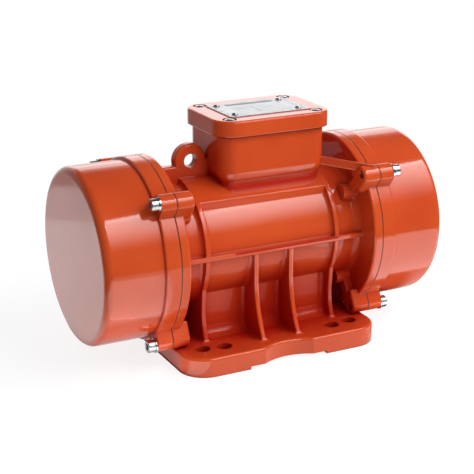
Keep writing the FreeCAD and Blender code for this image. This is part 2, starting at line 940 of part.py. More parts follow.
def build_cover_seal(side):
    body = new_body(f"{side}_cover_seal", side)
    middle = seam - S.seal_section_radius - S.seat_gap
    spin(body, "Revolution", circle(middle, seal_ring_radius, S.seal_section_radius))


def build_cover_screws(side):
    """Socket head screws through the cover lugs into the flange lugs, with a washer under each head."""
    washers = new_body(f"{side}_cover_washers", side)
    pad(washers, "YZ_Plane", lug_face, lug_face + S.washer_thickness,
        *lug_holes(S.washer_radius), *lug_holes(S.cover_screw_radius + S.screw_gap))
    screws = new_body(f"{side}_cover_screws", side)
    head_start = lug_face + S.washer_thickness
    head_end = head_start + S.cover_screw_head_height
    pad(screws, "YZ_Plane", seam - S.cover_screw_reach, head_start, *lug_holes(S.cover_screw_radius))
    pad(screws, "YZ_Plane", head_start, head_end, *lug_holes(S.cover_screw_head_radius))
    places = [turned(lug_circle, as_size(0), angle) for angle in lug_angles]
    pocket(screws, "YZ_Plane", head_end - S.cover_screw_head_height / 2, head_end,
           *[hexagon(y, z, S.cover_screw_radius) for y, z in places])


# Terminal box


def lid_screw_places():
    return [(S.box_offset + x * lid_screw_long, y * lid_screw_wide) for x, y in CORNERS]


def build_lid():
    body = new_body("terminal_box_lid")
    over = S.lid_overhang
    shell = pad(body, "XY_Plane", lid_bottom, lid_top_face, rounded_rectangle(
        S.box_offset, S.box_half_length + over, S.box_half_width + over, S.box_corner_radius + over))
    round_edges(body, shell, S.lid_edge_round, at_height(lid_top_face))
    hollow_length = lid_screw_long - S.lid_screw_boss_radius
    pocket(body, "XY_Plane", lid_bottom, lid_top_face - S.lid_top, rounded_rectangle(
        S.box_offset, hollow_length, S.box_half_width + over - 2 * S.lid_wall, S.lid_wall))
    places = lid_screw_places()
    pocket(body, "XY_Plane", lid_top_face - S.lid_recess_depth, lid_top_face,
           *[circle(x, y, S.lid_recess_radius) for x, y in places])
    pocket(body, "XY_Plane", lid_bottom, lid_top_face - S.lid_recess_depth,
           *[circle(x, y, S.lid_screw_radius + S.screw_gap) for x, y in places])


def build_lid_gasket():
    body = new_body("lid_gasket")
    wall = S.box_wall
    opening_length = lid_screw_long - S.lid_screw_boss_radius
    pad(
        body,
        "XY_Plane",
        box_rim,
        lid_bottom,
        rounded_rectangle(S.box_offset, S.box_half_length, S.box_half_width, S.box_corner_radius),
        rounded_rectangle(
            S.box_offset, opening_length, S.box_half_width - wall, S.box_corner_radius - wall),
        *[circle(x, y, S.lid_screw_radius + S.screw_gap) for x, y in lid_screw_places()],
    )


def build_lid_screws():
    """Slotted cheese head screws at the corners of the lid."""
    body = new_body("lid_screws")
    places = lid_screw_places()
    seat = lid_top_face - S.lid_recess_depth
    head_top = seat + S.lid_screw_head_height
    pad(body, "XY_Plane", box_rim - S.lid_screw_reach, seat, *[
        circle(x, y, S.lid_screw_radius) for x, y in places])
    pad(body, "XY_Plane", seat, head_top, *[circle(x, y, S.lid_screw_head_radius) for x, y in places])
    half_slot = S.lid_screw_radius / 4
    pocket(body, "XY_Plane", head_top - S.lid_screw_head_height / 2, head_top, *[
        rectangle(x - S.lid_screw_head_radius, y - half_slot, x + S.lid_screw_head_radius, y + half_slot)
        for x, y in places])


def rivet_places():
    long = S.plate_half_length - S.rivet_inset
    wide = S.plate_half_width - S.rivet_inset
    return [(S.box_offset + x * long, y * wide) for x, y in CORNERS]


def build_rating_plate():
    plate = new_body("rating_plate")
    plate_top = lid_top_face + S.plate_thickness
    pad(plate, "XY_Plane", lid_top_face, plate_top,
        rounded_rectangle(S.box_offset, S.plate_half_length, S.plate_half_width, S.plate_corner_radius),
        *[circle(x, y, S.rivet_radius + S.screw_gap) for x, y in rivet_places()])
    rivets = new_body("plate_rivets")
    pad(rivets, "XY_Plane", lid_top_face, plate_top, *[
        circle(x, y, S.rivet_radius) for x, y in rivet_places()])
    head_top = plate_top + S.rivet_head_height
    heads = pad(rivets, "XY_Plane", plate_top, head_top, *[
        circle(x, y, S.rivet_head_radius) for x, y in rivet_places()])
    round_edges(rivets, heads, S.rivet_head_height * RIVET_CROWN, at_height(head_top))


def stud_places():
    return [
        (S.box_offset + column * S.stud_pitch, row_side * S.stud_row_half_pitch)
        for column in (-1, 0, 1)
        for row_side in (-1, 1)
    ]


def build_terminals():
    board = new_body("terminal_board")
    board_top = box_floor + S.board_thickness
    pad(board, "XY_Plane", box_floor, board_top, rounded_rectangle(
        S.box_offset, S.board_half_length, S.board_half_width, S.board_edge))
    pocket(board, "XY_Plane", board_top - S.board_thickness / 2, board_top, *[
        circle(x, y, S.stud_radius + S.screw_gap) for x, y in stud_places()])
    studs = new_body("terminal_studs")
    pad(studs, "XY_Plane", board_top - S.board_thickness / 2, board_top + S.stud_height, *[
        circle(x, y, S.stud_radius) for x, y in stud_places()])
    nuts = new_body("terminal_nuts")
    pad(nuts, "XY_Plane", board_top, board_top + S.nut_height,
        *[hexagon(x, y, S.nut_radius) for x, y in stud_places()],
        *[circle(x, y, S.stud_radius + S.screw_gap) for x, y in stud_places()])
    earth = new_body("earth_screw")
    across = S.box_offset + S.earth_screw_place
    pad(earth, "XY_Plane", box_floor - S.earth_screw_reach, box_floor,
        circle(across, 0, S.earth_screw_radius))
    pad(earth, "XY_Plane", box_floor, box_floor + S.earth_head_height,
        hexagon(across, as_size(0), S.earth_head_radius))


# Cable gland in the box's back wall, drawn along Y


def gland_disc(body, start, end, *radii):
    """A round layer of the gland between two distances from the shaft; further radii are holes in it."""
    return pad(body, "XZ_Plane", -end, -start, *[
        circle(S.box_offset, gland_axis, radius) for radius in radii])


def build_gland():
    inner_end = S.box_half_width - S.box_wall
    neck_end = gland_cap_start + S.gland_neck_length
    gland = new_body("gland_body")
    gland_disc(gland, inner_end, gland_wall_face, S.gland_thread_radius, S.gland_bore_radius)
    pad(gland, "XZ_Plane", -gland_cap_start, -gland_wall_face,
        hexagon(S.box_offset, gland_axis, S.gland_hex_radius),
        circle(S.box_offset, gland_axis, S.gland_bore_radius))
    gland_disc(gland, gland_cap_start, neck_end, S.gland_neck_radius, S.gland_bore_radius)
    seal_end = gland_cap_end - S.gland_cap_wall
    seal = new_body("gland_seal")
    gland_disc(seal, neck_end, seal_end, S.gland_neck_radius, S.gland_seal_bore_radius)
    cap = new_body("gland_cap_nut")
    gland_disc(cap, gland_cap_start, seal_end, S.gland_cap_radius, S.gland_neck_radius + S.screw_gap)
    shoulder = gland_disc(cap, seal_end, gland_cap_end, S.gland_cap_radius, S.gland_bore_radius)
    on_rim = on_circle(S.gland_cap_radius)
    round_edges(cap, shoulder, S.gland_cap_wall / 2, lambda edge: (
        on_rim(edge) and edge.BoundBox.YMin > gland_cap_end.value - CLOSE))


# Stator and rotor


def slot_outline(number, inner, outer, width):
    """One slot, seen along the shaft, running outward in its direction."""
    angle = as_size(360 * number / STATOR_SLOTS)
    return outline(*[turned(out, side, angle) for out, side in (
        (inner, -width / 2), (outer, -width / 2), (outer, width / 2), (inner, width / 2))])


def build_stator():
    core = new_body("stator_core")
    half = S.stack_half_length
    spin(core, "Revolution", ring(stator_inner_radius, bore_radius - S.seat_gap, -half, half))
    inner = stator_inner_radius - S.air_gap
    pocket(core, "YZ_Plane", -half, half, *[
        slot_outline(number, inner, slot_outer_radius, S.slot_width) for number in range(STATOR_SLOTS)])
    winding = new_body("stator_winding")
    low = stator_inner_radius + S.slot_clearance
    high = slot_outer_radius - S.slot_clearance
    start = half + S.slot_clearance
    end = half + S.coil_overhang
    curve = S.coil_round
    spin(winding, "Revolution", outline(
        (start, low), (end - curve, low, curve, 1), (end, low + curve), (end, high - curve, curve, 1),
        (end - curve, high), (start, high)))
    spin(winding, "Revolution", outline(
        (-start, low), (-start, high), (curve - end, high, curve, 1), (-end, high - curve),
        (-end, low + curve, curve, 1), (curve - end, low)))
    pad(winding, "YZ_Plane", -start, start, *[
        slot_outline(number, low, high, S.slot_width - 2 * S.slot_clearance)
        for number in range(STATOR_SLOTS)])


def build_rotor():
    half = S.stack_half_length
    core = new_body("rotor_core")
    spin(core, "Revolution", ring(S.shaft_radius + S.seat_gap, S.rotor_radius, -half, half))
    bars = around(ROTOR_BARS, rotor_bar_circle)
    pocket(core, "YZ_Plane", -half, half, *[circle(y, z, S.rotor_bar_radius + S.seat_gap) for y, z in bars])
    cage = new_body("rotor_cage")
    top = S.rotor_radius - S.rotor_bar_depth / 2
    low = top - S.end_ring_height
    end = half + S.end_ring_length
    spin(cage, "Revolution", ring(low, top, half, end))
    spin(cage, "Revolution", ring(low, top, -end, -half))
    pad(cage, "YZ_Plane", -half, half, *[circle(y, z, S.rotor_bar_radius) for y, z in bars])
    build_shaft()


def build_shaft():
    """A stepped shaft: core seat, shoulders, bearing seats, and weight seats with keyways."""
    body = new_body("shaft")
    core_end = S.stack_half_length + S.end_ring_length
    seat = S.bearing_bore_radius
    chamfer = S.edge_round
    spin(body, "Revolution", outline(
        (-shaft_end, 0), (shaft_end, 0), (shaft_end, seat - chamfer), (shaft_end - chamfer, seat),
        (bearing_start, seat), (bearing_start, S.shaft_shoulder_radius), (core_end, S.shaft_shoulder_radius),
        (core_end, S.shaft_radius), (-core_end, S.shaft_radius), (-core_end, S.shaft_shoulder_radius),
        (-bearing_start, S.shaft_shoulder_radius), (-bearing_start, seat), (chamfer - shaft_end, seat),
        (-shaft_end, seat - chamfer)))
    groove_end = weights_end + S.ring_thickness + 2 * S.seat_gap
    spin(body, "Groove", ring(seat - S.ring_depth, seat + S.ring_depth, weights_end, groove_end),
         ring(seat - S.ring_depth, seat + S.ring_depth, -groove_end, -weights_end))
    half_key = S.key_width / 2
    key_floor = seat - S.key_depth
    pocket(body, "XY_Plane", key_floor, seat, rectangle(weight_start, -half_key, fixed_end, half_key),
           rectangle(-fixed_end, -half_key, -weight_start, half_key))


# Bearings, shields and caps


def build_shield(side):
    body = new_body(f"{side}_bearing_shield", side)
    lip_start = bearing_start - S.shield_lip
    spin(body, "Revolution", outline(
        (lip_start, S.shield_lip_radius), (bearing_start, S.shield_lip_radius),
        (bearing_start, S.bearing_outer_radius + S.seat_gap),
        (bearing_face, S.bearing_outer_radius + S.seat_gap),
        (bearing_face, recess_radius - S.seat_gap), (shield_seat, recess_radius - S.seat_gap),
        (shield_seat, bore_radius - S.seat_gap), (lip_start, bore_radius - S.seat_gap)))
    places = [turned(S.shield_screw_circle, as_size(0), angle) for angle in lug_angles]
    pocket(body, "YZ_Plane", shield_seat, bearing_face, *[
        circle(y, z, S.shield_screw_radius + S.screw_gap) for y, z in places])
    pocket(body, "YZ_Plane", bearing_face - S.cap_screw_reach - S.screw_gap, bearing_face, *[
        circle(y, z, S.cap_screw_radius + S.screw_gap) for y, z in around(len(lug_angles), cap_screw_circle)])
    screws = new_body(f"{side}_shield_screws", side)
    pad(screws, "YZ_Plane", shield_seat - S.shield_screw_reach, bearing_face, *[
        circle(y, z, S.shield_screw_radius) for y, z in places])
    pad(screws, "YZ_Plane", bearing_face, bearing_face + S.shield_head_height, *[
        hexagon(y, z, S.shield_head_radius) for y, z in places])


def build_bearing_cap(side):
    body = new_body(f"{side}_bearing_cap", side)
    cap_end = bearing_face + S.cap_thickness
    spacer_radius = S.bearing_bore_radius + S.spacer_wall
    places = around(len(lug_angles), cap_screw_circle)
    spin(body, "Revolution", ring(spacer_radius + S.running_gap, cap_radius, bearing_face, cap_end))
    spin(body, "Groove", ring(spacer_radius, S.outer_race_radius, bearing_face, bearing_face + S.running_gap))
    pocket(body, "YZ_Plane", bearing_face, cap_end, *[
        circle(y, z, S.cap_screw_radius + S.screw_gap) for y, z in places])
    screws = new_body(f"{side}_cap_screws", side)
    pad(screws, "YZ_Plane", bearing_face - S.cap_screw_reach, cap_end, *[
        circle(y, z, S.cap_screw_radius) for y, z in places])
    pad(screws, "YZ_Plane", cap_end, cap_end + S.cap_head_height, *[
        circle(y, z, S.cap_head_radius) for y, z in places])


def build_bearing(side):
    """A cylindrical roller bearing: ribbed outer ring, plain inner ring, rollers in a window cage."""
    outer = new_body(f"{side}_bearing_outer_ring", side)
    rib = S.outer_race_radius - S.race_rib
    spin(outer, "Revolution", ring(rib, S.bearing_outer_radius, bearing_start, bearing_face))
    race_start = bearing_start + S.race_rib_width
    race_end = bearing_face - S.race_rib_width
    spin(outer, "Groove", ring(rib - S.race_rib, S.outer_race_radius, race_start, race_end))
    inner = new_body(f"{side}_bearing_inner_ring", side)
    spin(inner, "Revolution", ring(
        S.bearing_bore_radius + S.seat_gap, S.inner_race_radius, bearing_start, bearing_face))
    places = around(ROLLERS, roller_circle)
    rollers = new_body(f"{side}_bearing_rollers", side)
    pad(rollers, "YZ_Plane", roller_start, roller_end, *[circle(y, z, roller_radius) for y, z in places])
    cage = new_body(f"{side}_roller_cage", side)
    half_cage = S.cage_thickness / 2
    window_start = roller_start - S.running_gap
    window_end = roller_end + S.running_gap
    spin(cage, "Revolution", ring(
        roller_circle - half_cage, roller_circle + half_cage,
        window_start - S.cage_end, window_end + S.cage_end))
    pocket(cage, "YZ_Plane", window_start, window_end, *[
        circle(y, z, roller_radius + S.running_gap) for y, z in places])


# Unbalance weights


def weight_rim():
    """The two ends of a weight's round rim; the weight hangs below the shaft."""
    across = weight_radius * sine(S.weight_half_angle)
    up = -weight_radius * cosine(S.weight_half_angle)
    return across, up


def fixed_weight_outline():
    """A heavy sector whose sides run tangent to the hub."""
    across, up = weight_rim()
    square = weight_radius * weight_radius
    along = weight_hub_radius * weight_hub_radius / square
    beside = weight_hub_radius * root(square - weight_hub_radius * weight_hub_radius) / square
    hub_across = along * across - beside * up
    hub_up = along * up + beside * across
    return outline(
        (-across, up, weight_radius, 1), (across, up),
        (hub_across, hub_up, weight_hub_radius, 1), (-hub_across, hub_up))


def adjustable_weight_outline():
    """The same sector with a pair of clamp ears above the hub."""
    across, up = weight_rim()
    ear = S.clamp_ear_half_width
    ear_top = S.bearing_bore_radius + S.clamp_ear_height
    return outline(
        (-across, up, weight_radius, 1), (across, up), (ear, 0), (ear, ear_top), (-ear, ear_top), (-ear, 0))


def build_weights(side):
    seat = S.bearing_bore_radius
    fixed = new_body(f"{side}_fixed_weight", side)
    pad(fixed, "YZ_Plane", weight_start, fixed_end, fixed_weight_outline(), circle(0, 0, seat + S.seat_gap))
    half_key = S.key_width / 2
    key_floor = seat - S.key_depth
    key_top = key_floor + S.key_height
    pocket(fixed, "XY_Plane", as_size(0), key_top, rectangle(
        weight_start, -half_key, fixed_end, half_key))
    key = new_body(f"{side}_weight_key", side)
    pad(key, "XY_Plane", key_floor, key_top - S.seat_gap, rectangle(
        weight_start + S.seat_gap, S.seat_gap - half_key, fixed_end - S.seat_gap, half_key - S.seat_gap))
    build_adjustable_weight(side)
    spacer = new_body(f"{side}_spacer_sleeve", side)
    spin(spacer, "Revolution", ring(seat + S.seat_gap, seat + S.spacer_wall, bearing_face, weight_start))
    ring_end = weights_end + S.ring_thickness
    clip = new_body(f"{side}_retaining_ring", side)
    spin(clip, "Revolution", ring(
        seat - S.ring_depth + S.seat_gap, seat + S.ring_height,
        weights_end + S.seat_gap, ring_end + S.seat_gap))


def build_adjustable_weight(side):
    body = new_body(f"{side}_adjustable_weight", side)
    seat = S.bearing_bore_radius
    ear = S.clamp_ear_half_width
    ear_top = seat + S.clamp_ear_height
    pad(body, "YZ_Plane", adjust_start, weights_end,
        adjustable_weight_outline(), circle(0, 0, seat + S.bore_gap))
    half_slit = S.clamp_slit / 2
    pocket(body, "XY_Plane", as_size(0), ear_top, rectangle(adjust_start, -half_slit, weights_end, half_slit))
    middle = (adjust_start + weights_end) / 2
    pocket(body, "XZ_Plane", -ear, ear, circle(middle, clamp_height, S.clamp_screw_radius + S.screw_gap))
    screw = new_body(f"{side}_clamp_screw", side)
    pad(screw, "XZ_Plane", -ear, ear, circle(middle, clamp_height, S.clamp_screw_radius))
    head_end = ear + S.clamp_head_height
    pad(screw, "XZ_Plane", ear, head_end, circle(middle, clamp_height, S.clamp_head_radius))
    pocket(screw, "XZ_Plane", head_end - S.clamp_head_height / 2, head_end,
           hexagon(middle, clamp_height, S.clamp_screw_radius))


# The whole motor

build_motor_body()
build_lid()
build_lid_gasket()
build_lid_screws()
build_rating_plate()
build_terminals()
build_gland()
build_stator()
build_rotor()
for end_side in ("left", "right"):
    build_cover(end_side)
    build_cover_seal(end_side)
    build_cover_screws(end_side)
    build_shield(end_side)
    build_bearing_cap(end_side)
    build_bearing(end_side)
    build_weights(end_side)
doc.recompute()

# Before a piece is written, every object has to be sound and every feature has to have added or cut something

CUTTING = ("PartDesign::Pocket", "PartDesign::Groove")
for item in doc.Objects:
    if {"Invalid", "Error"} & set(item.State):
        raise RuntimeError(f"{item.Name} failed: {item.State}")
    base = getattr(item, "BaseFeature", None)
    if base is not None and item.TypeId.startswith("PartDesign::") and item.TypeId != "PartDesign::Body":
        change = item.Shape.Volume - base.Shape.Volume
        if item.TypeId in CUTTING and change > -CLOSE:
            raise RuntimeError(f"{item.Name} cuts nothing")
        if item.TypeId == "PartDesign::Pad" and change < CLOSE:
            raise RuntimeError(f"{item.Name} adds nothing")

bodies = [item for item in doc.Objects if item.TypeId == "PartDesign::Body"]
for body in bodies:
    if body.Shape.isNull() or not body.Shape.isValid():
        raise RuntimeError(f"{body.Label} has no sound shape")

os.makedirs("parts", exist_ok=True)
for body in bodies:
    body.Shape.exportStep(f"parts/{body.Label}.step")
    print(body.Label, "solids", len(body.Shape.Solids), "volume", round(body.Shape.Volume, 1))
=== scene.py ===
# %% [markdown]
# A foot-mounted vibration motor. The imported model gives every rigid piece at its real size, in metres,
# with the foot on Z = 0 and the shaft along X. This lesson dresses those pieces and never moves them.

# %% load the imported motor
import json
import math

import bmesh
import bpy
from mathutils import Matrix, Vector


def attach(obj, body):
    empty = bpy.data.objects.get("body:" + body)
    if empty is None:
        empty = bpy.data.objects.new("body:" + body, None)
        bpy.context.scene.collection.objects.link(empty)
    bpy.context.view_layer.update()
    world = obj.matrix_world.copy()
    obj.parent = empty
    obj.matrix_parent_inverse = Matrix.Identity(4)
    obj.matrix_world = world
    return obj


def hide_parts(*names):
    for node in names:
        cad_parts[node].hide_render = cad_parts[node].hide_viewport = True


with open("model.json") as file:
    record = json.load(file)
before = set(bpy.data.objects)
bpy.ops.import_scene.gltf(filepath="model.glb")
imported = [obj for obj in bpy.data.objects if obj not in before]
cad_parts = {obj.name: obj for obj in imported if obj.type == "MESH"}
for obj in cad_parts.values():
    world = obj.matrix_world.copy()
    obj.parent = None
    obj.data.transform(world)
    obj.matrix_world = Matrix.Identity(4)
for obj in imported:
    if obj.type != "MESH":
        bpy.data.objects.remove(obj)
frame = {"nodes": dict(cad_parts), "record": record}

nodes = frame["nodes"]
scene = bpy.context.scene
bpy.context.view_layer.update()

# %% [markdown]
# The camera stands low in front of the left cover, and a long lens keeps the two drums nearly the same
# size. It could be placed by its coordinates. A direction and a distance from a point on the motor say
# more, because those are the things a photographer sets. The small shift only frames the motor in the
# square picture.

# %% camera
CAMERA_AZIMUTH = -27.155
CAMERA_ELEVATION = 18.04
CAMERA_DISTANCE = 1.0813
MOTOR_MIDDLE = Vector((0, 0, 0.0878))
SENSOR_WIDTH = 36.0
LENS = 97.3
FRAME_SHIFT = (-0.0141, -0.0136)


def direction_of(azimuth, elevation):
    """A direction away from the motor; the angles are in degrees, and azimuth runs from the front to +X."""
    azimuth, elevation = math.radians(azimuth), math.radians(elevation)
    return Vector((
        math.sin(azimuth) * math.cos(elevation),
        -math.cos(azimuth) * math.cos(elevation),
        math.sin(elevation),
    ))


away = direction_of(CAMERA_AZIMUTH, CAMERA_ELEVATION)
camera_data = bpy.data.cameras.new("camera")
camera_data.sensor_width = SENSOR_WIDTH
camera_data.lens = LENS
camera_data.shift_x, camera_data.shift_y = FRAME_SHIFT
camera = bpy.data.objects.new("camera", camera_data)
camera.location = MOTOR_MIDDLE + away * CAMERA_DISTANCE
camera.rotation_euler = (-away).to_track_quat("-Z", "Y").to_euler()
scene.collection.objects.link(camera)
scene.camera = camera
scene.view_settings.view_transform = "Standard"
print("camera at", tuple(round(v, 3) for v in camera.location))

# %% [markdown]
# Shader maths could be wired node by node, but a web of nodes is hard to read. Here it is written as
# sums: a Wire stands for one output socket, and adding or multiplying wires adds the Math nodes behind
# the scenes. Every other node comes from `node`.


# %% wires
class Wire:
    """One output socket of a node tree."""

    def __init__(self, tree, socket=None):
        self.tree = tree
        self.socket = socket

    def node(self, kind, settings=None, sockets=None, output=0):
        """Add a node: its settings first, then the value or the wire of each socket."""
        made = self.tree.nodes.new(kind)
        for name, value in (settings or {}).items():
            setattr(made, name, value)
        for name, value in (sockets or {}).items():
            if isinstance(value, Wire):
                self.tree.links.new(value.socket, made.inputs[name])
            else:
                made.inputs[name].default_value = value
        return Wire(self.tree, made.outputs[output] if made.outputs else None)

    def math(self, operation, first, second=0):
        """Add a Math node."""
        return self.node("ShaderNodeMath", {"operation": operation}, {0: first, 1: second})

    def __add__(self, other):
        return self.math("ADD", self, other)

    def __sub__(self, other):
        return self.math("SUBTRACT", self, other)

    def __rsub__(self, other):
        return self.math("SUBTRACT", other, self)

    def __mul__(self, other):
        return self.math("MULTIPLY", self, other)

    def __gt__(self, other):
        return self.math("GREATER_THAN", self, other)

    def __lt__(self, other):
        return self.math("LESS_THAN", self, other)

    def __abs__(self):
        return self.math("ABSOLUTE", self)

    __radd__ = __add__
    __rmul__ = __mul__


print("wires ready")

# %% [markdown]
# Some steps come back in every finish: one colour over another, a smooth change, a mask between two
# lengths, a noise, a bump. Each gets a function with a plain name, so that a finish can be read like a
# recipe.

# %% masks and mixtures


def mixed(factor, first, second):
    """One colour laid over another, where the factor is 1."""
    return factor.node("ShaderNodeMix", {"data_type": "RGBA"}, {0: factor, 6: first, 7: second}, 2)


def ranged(value, span, start, end):
    """A smooth change: start at the low end of the span, end at its high end."""
    sockets = {"Value": value, "From Min": span[0], "From Max": span[1], "To Min": start, "To Max": end}
    return value.node("ShaderNodeMapRange", {"interpolation_type": "SMOOTHSTEP"}, sockets)


def within(value, low, high):
    """1 where a value lies between two lengths, and 0 elsewhere."""
    return (value > low) * (value < high)


def near(value, middle, half_width):
    """1 where a value lies within half a width of a middle, and 0 elsewhere."""
    return within(value, middle - half_width, middle + half_width)


def axis(wire, vector, letter):
    """One coordinate of a vector."""
    return wire.node("ShaderNodeSeparateXYZ", None, {"Vector": vector}, letter)


print("masks and mixtures ready")

# %% surfaces and shaders


def new_material(name):
    """An empty material, the wire to build it with, and the place on the motor in metres."""
    material = bpy.data.materials.new(name)
    material.use_nodes = True
    material.node_tree.nodes.clear()
    wire = Wire(material.node_tree)
    return material, wire, wire.node("ShaderNodeTexCoord", output="Object")


def noise(wire, vector, scale, detail=2.0, roughness=0.5):
    """A cloudy pattern around one half; scale is the number of clouds in a metre."""
    sockets = {"Vector": vector, "Scale": scale, "Detail": detail, "Roughness": roughness}
    return wire.node("ShaderNodeTexNoise", None, sockets)


def bump(wire, height, distance, strength, normal):
    """A normal tilted by a height; distance is the height of a full step in metres."""
    sockets = {"Height": height, "Distance": distance, "Strength": strength, "Normal": normal}
    return wire.node("ShaderNodeBump", None, sockets)


def rounded_edges(wire, radius, samples):
    """A normal that softens every edge to a radius."""
    return wire.node("ShaderNodeBevel", {"samples": samples}, {"Radius": radius})


def principled(wire, sockets):
    """The shader that every finish is made with."""
    return wire.node("ShaderNodeBsdfPrincipled", None, sockets)


def show(wire, shader):
    """Lead a shader to the material's output."""
    wire.node("ShaderNodeOutputMaterial", None, {"Surface": shader})


print("surfaces and shaders ready")

# %% [markdown]
# The motor is sprayed with a thick glossy orange enamel that rounds every edge. Its colour carries
# painted shade: it turns a deeper red low on the casting, between the ribs, in tight corners and in the
# hollow under the terminal box, where shade falls. Deep between the ribs and in that hollow the spray
# arrives half dry and stays dull. A fine orange peel lies over the slow waves of the sand casting, and
# grime sits in the joint between each cover and its flange.
#
# All this could be painted by hand onto each piece, and painted again after each change of shape. Nodes
# find the places by themselves. An Ambient Occlusion node with a long reach finds the deep bays, and
# one with a short reach finds the corners, where the shade is painted. The hollow under the box is found
# by its distance from the shaft.

# %% places of the painted shade under the box, and of the joint
SHAFT_HEIGHT = 0.088
ROOF_RADIUS = 0.0545
BOX_MIDDLE = 0.0125
HOLLOW_FOOT_FADE = 0.0002
HOLLOW_FOOT = (ROOF_RADIUS, ROOF_RADIUS + HOLLOW_FOOT_FADE)
HOLLOW_TOP = (0.0575, 0.066)
HOLLOW_ENDS = (0.046, 0.050)
JOINT_PLACE = 0.091
JOINT_HALF_WIDTH = 0.0005


def openness(wire, reach, own_shape_only):
    """How open the surroundings of a point are: 0 deep in a corner and 1 on a free surface."""
    settings = {"samples": 4, "only_local": own_shape_only}
    return wire.node("ShaderNodeAmbientOcclusion", settings, {"Distance": reach}, "AO")


def hollow_under_box(wire, x, y, z):
    """1 in the hollow between the terminal box and the barrel, by the distance from the shaft."""
    up = z - SHAFT_HEIGHT
    from_shaft = wire.math("SQRT", y * y + up * up)
    between = ranged(from_shaft, HOLLOW_FOOT, 0.0, 1.0) * ranged(from_shaft, HOLLOW_TOP, 1.0, 0.0)
    return between * ranged(abs(x - BOX_MIDDLE), HOLLOW_ENDS, 1.0, 0.0) * (up > 0)


print("barrel's thicker top ends", ROOF_RADIUS, "from the shaft")

# %% [markdown]
# The colour is built up in layers: sprayed paint of uneven thickness, then painted shade in the bays,
# low on the casting and under the box, then deeper painted shade in the corners, and grime. Its gloss
# can't be set by one roughness alone, because even a rough coat still mirrors the bright sweep and turns
# pink. So there are two shaders, a glossy one and a dull one with hardly any mirror, and the depth of the
# bay mixes them.

# %% colours and shares of the enamel
ENAMEL = (0.64, 0.082, 0.018, 1)
ENAMEL_THIN = (0.58, 0.064, 0.013, 1)
ENAMEL_BAY_SHADE = (0.40, 0.007, 0.002, 1)
ENAMEL_CORNER_SHADE = (0.32, 0.004, 0.001, 1)
JOINT_GRIME = (0.05, 0.012, 0.006, 1)

BAY_REACH = 0.09
BAY_SHADE_OPENNESS = (0.3, 0.92)
BAY_SHADE_HEIGHTS = (0.06, 0.09)
BAY_SHADE_SHARE_ABOVE = 0.6
HOLLOW_SHADE_SHARE = 0.8
CORNER_REACH = 0.004
CORNER_SHADE_OPENNESS = (0.25, 0.75)
CORNER_SHADE_SHARE = 0.85
GRIME_SHARE = 0.85
GRIME_ROUGHER = 0.4

ENAMEL_IOR = 1.5
GLOSS_ROUGHNESS = (0.07, 0.12)
DRY_OPENNESS = (0.3, 0.85)
DRY_HEIGHTS = (0.045, 0.065)
DRY_SHARE_ABOVE = 0.4
DRY_SHARE_HOLLOW = 0.85
DRY_ROUGHNESS = 0.7
DRY_SPECULAR = 0.08

BLOTCHES_PER_METRE = 14
THIN_BLOTCHES = (0.35, 0.7)
ROUGH_BLOTCHES = (0.3, 0.7)
WAVES_PER_METRE = 38
WAVE_STRENGTH = 0.5
PEEL_PER_METRE = 420
PEEL_HEIGHT = 0.00003
PEEL_STRENGTH = 0.35
# The second colour printed here is the painted shade of the bays and of the hollow under the box.
print("enamel", ENAMEL, "gathers to", ENAMEL_BAY_SHADE)

# %% orange enamel


def enamel_surface(wire, place, edge_radius, wave_height):
    """A normal with rounded edges, the waves of the metal and the peel of the paint."""
    rounded = rounded_edges(wire, edge_radius, samples=8)
    waves = noise(wire, place, WAVES_PER_METRE)
    peel = noise(wire, place, PEEL_PER_METRE, detail=1.0)
    wavy = bump(wire, waves, distance=wave_height, strength=WAVE_STRENGTH, normal=rounded)
    return bump(wire, peel, distance=PEEL_HEIGHT, strength=PEEL_STRENGTH, normal=wavy)


def enamel(name, edge_radius, wave_height):
    """Glossy paint, with dull paint mixed in where the spray arrives half dry."""
    material, wire, place = new_material(name)
    x, y, z = (axis(wire, place, letter) for letter in "XYZ")
    surface = enamel_surface(wire, place, edge_radius, wave_height)
    blotches = noise(wire, place, BLOTCHES_PER_METRE, detail=3.0)
    bays = openness(wire, BAY_REACH, own_shape_only=True)
    corners = openness(wire, CORNER_REACH, own_shape_only=False)
    hollow = hollow_under_box(wire, x, y, z)
    joint = near(abs(x), JOINT_PLACE, JOINT_HALF_WIDTH)

    sprayed = mixed(ranged(blotches, THIN_BLOTCHES, 0.0, 1.0), ENAMEL, ENAMEL_THIN)
    # Painted shade: the colour turns deep red in deep bays, lower on the casting and in the hollow under the
    # box.
    bay_shade = ranged(bays, BAY_SHADE_OPENNESS, 1.0, 0.0) * ranged(z, BAY_SHADE_HEIGHTS, 1.0, BAY_SHADE_SHARE_ABOVE)
    with_bay_shade = mixed(bay_shade + hollow * HOLLOW_SHADE_SHARE, sprayed, ENAMEL_BAY_SHADE)
    # Painted shade: tight corners, and corners between parts, are darkened further to a deeper red.
    with_corner_shade = mixed(ranged(corners, CORNER_SHADE_OPENNESS, CORNER_SHADE_SHARE, 0.0), with_bay_shade, ENAMEL_CORNER_SHADE)
    colour = mixed(joint * GRIME_SHARE, with_corner_shade, JOINT_GRIME)

    gloss = principled(wire, {
        "Base Color": colour,
        "Roughness": ranged(blotches, ROUGH_BLOTCHES, *GLOSS_ROUGHNESS) + joint * GRIME_ROUGHER,
        "IOR": ENAMEL_IOR,
        "Normal": surface,
    })
    dull = principled(wire, {
        "Base Color": colour,
        "Roughness": DRY_ROUGHNESS,
        "Specular IOR Level": DRY_SPECULAR,
        "Normal": surface,
    })
    dried = ranged(bays, DRY_OPENNESS, 1.0, 0.0) * ranged(z, DRY_HEIGHTS, 1.0, DRY_SHARE_ABOVE)
    dryness = dried + hollow * DRY_SHARE_HOLLOW
    show(wire, wire.node("ShaderNodeMixShader", None, {0: dryness, 1: gloss, 2: dull}))
    return material


cast_enamel = enamel("cast_enamel", edge_radius=0.0018, wave_height=0.0003)
drawn_enamel = enamel("drawn_enamel", edge_radius=0.0012, wave_height=0.00008)
print("enamel", cast_enamel.name, drawn_enamel.name)

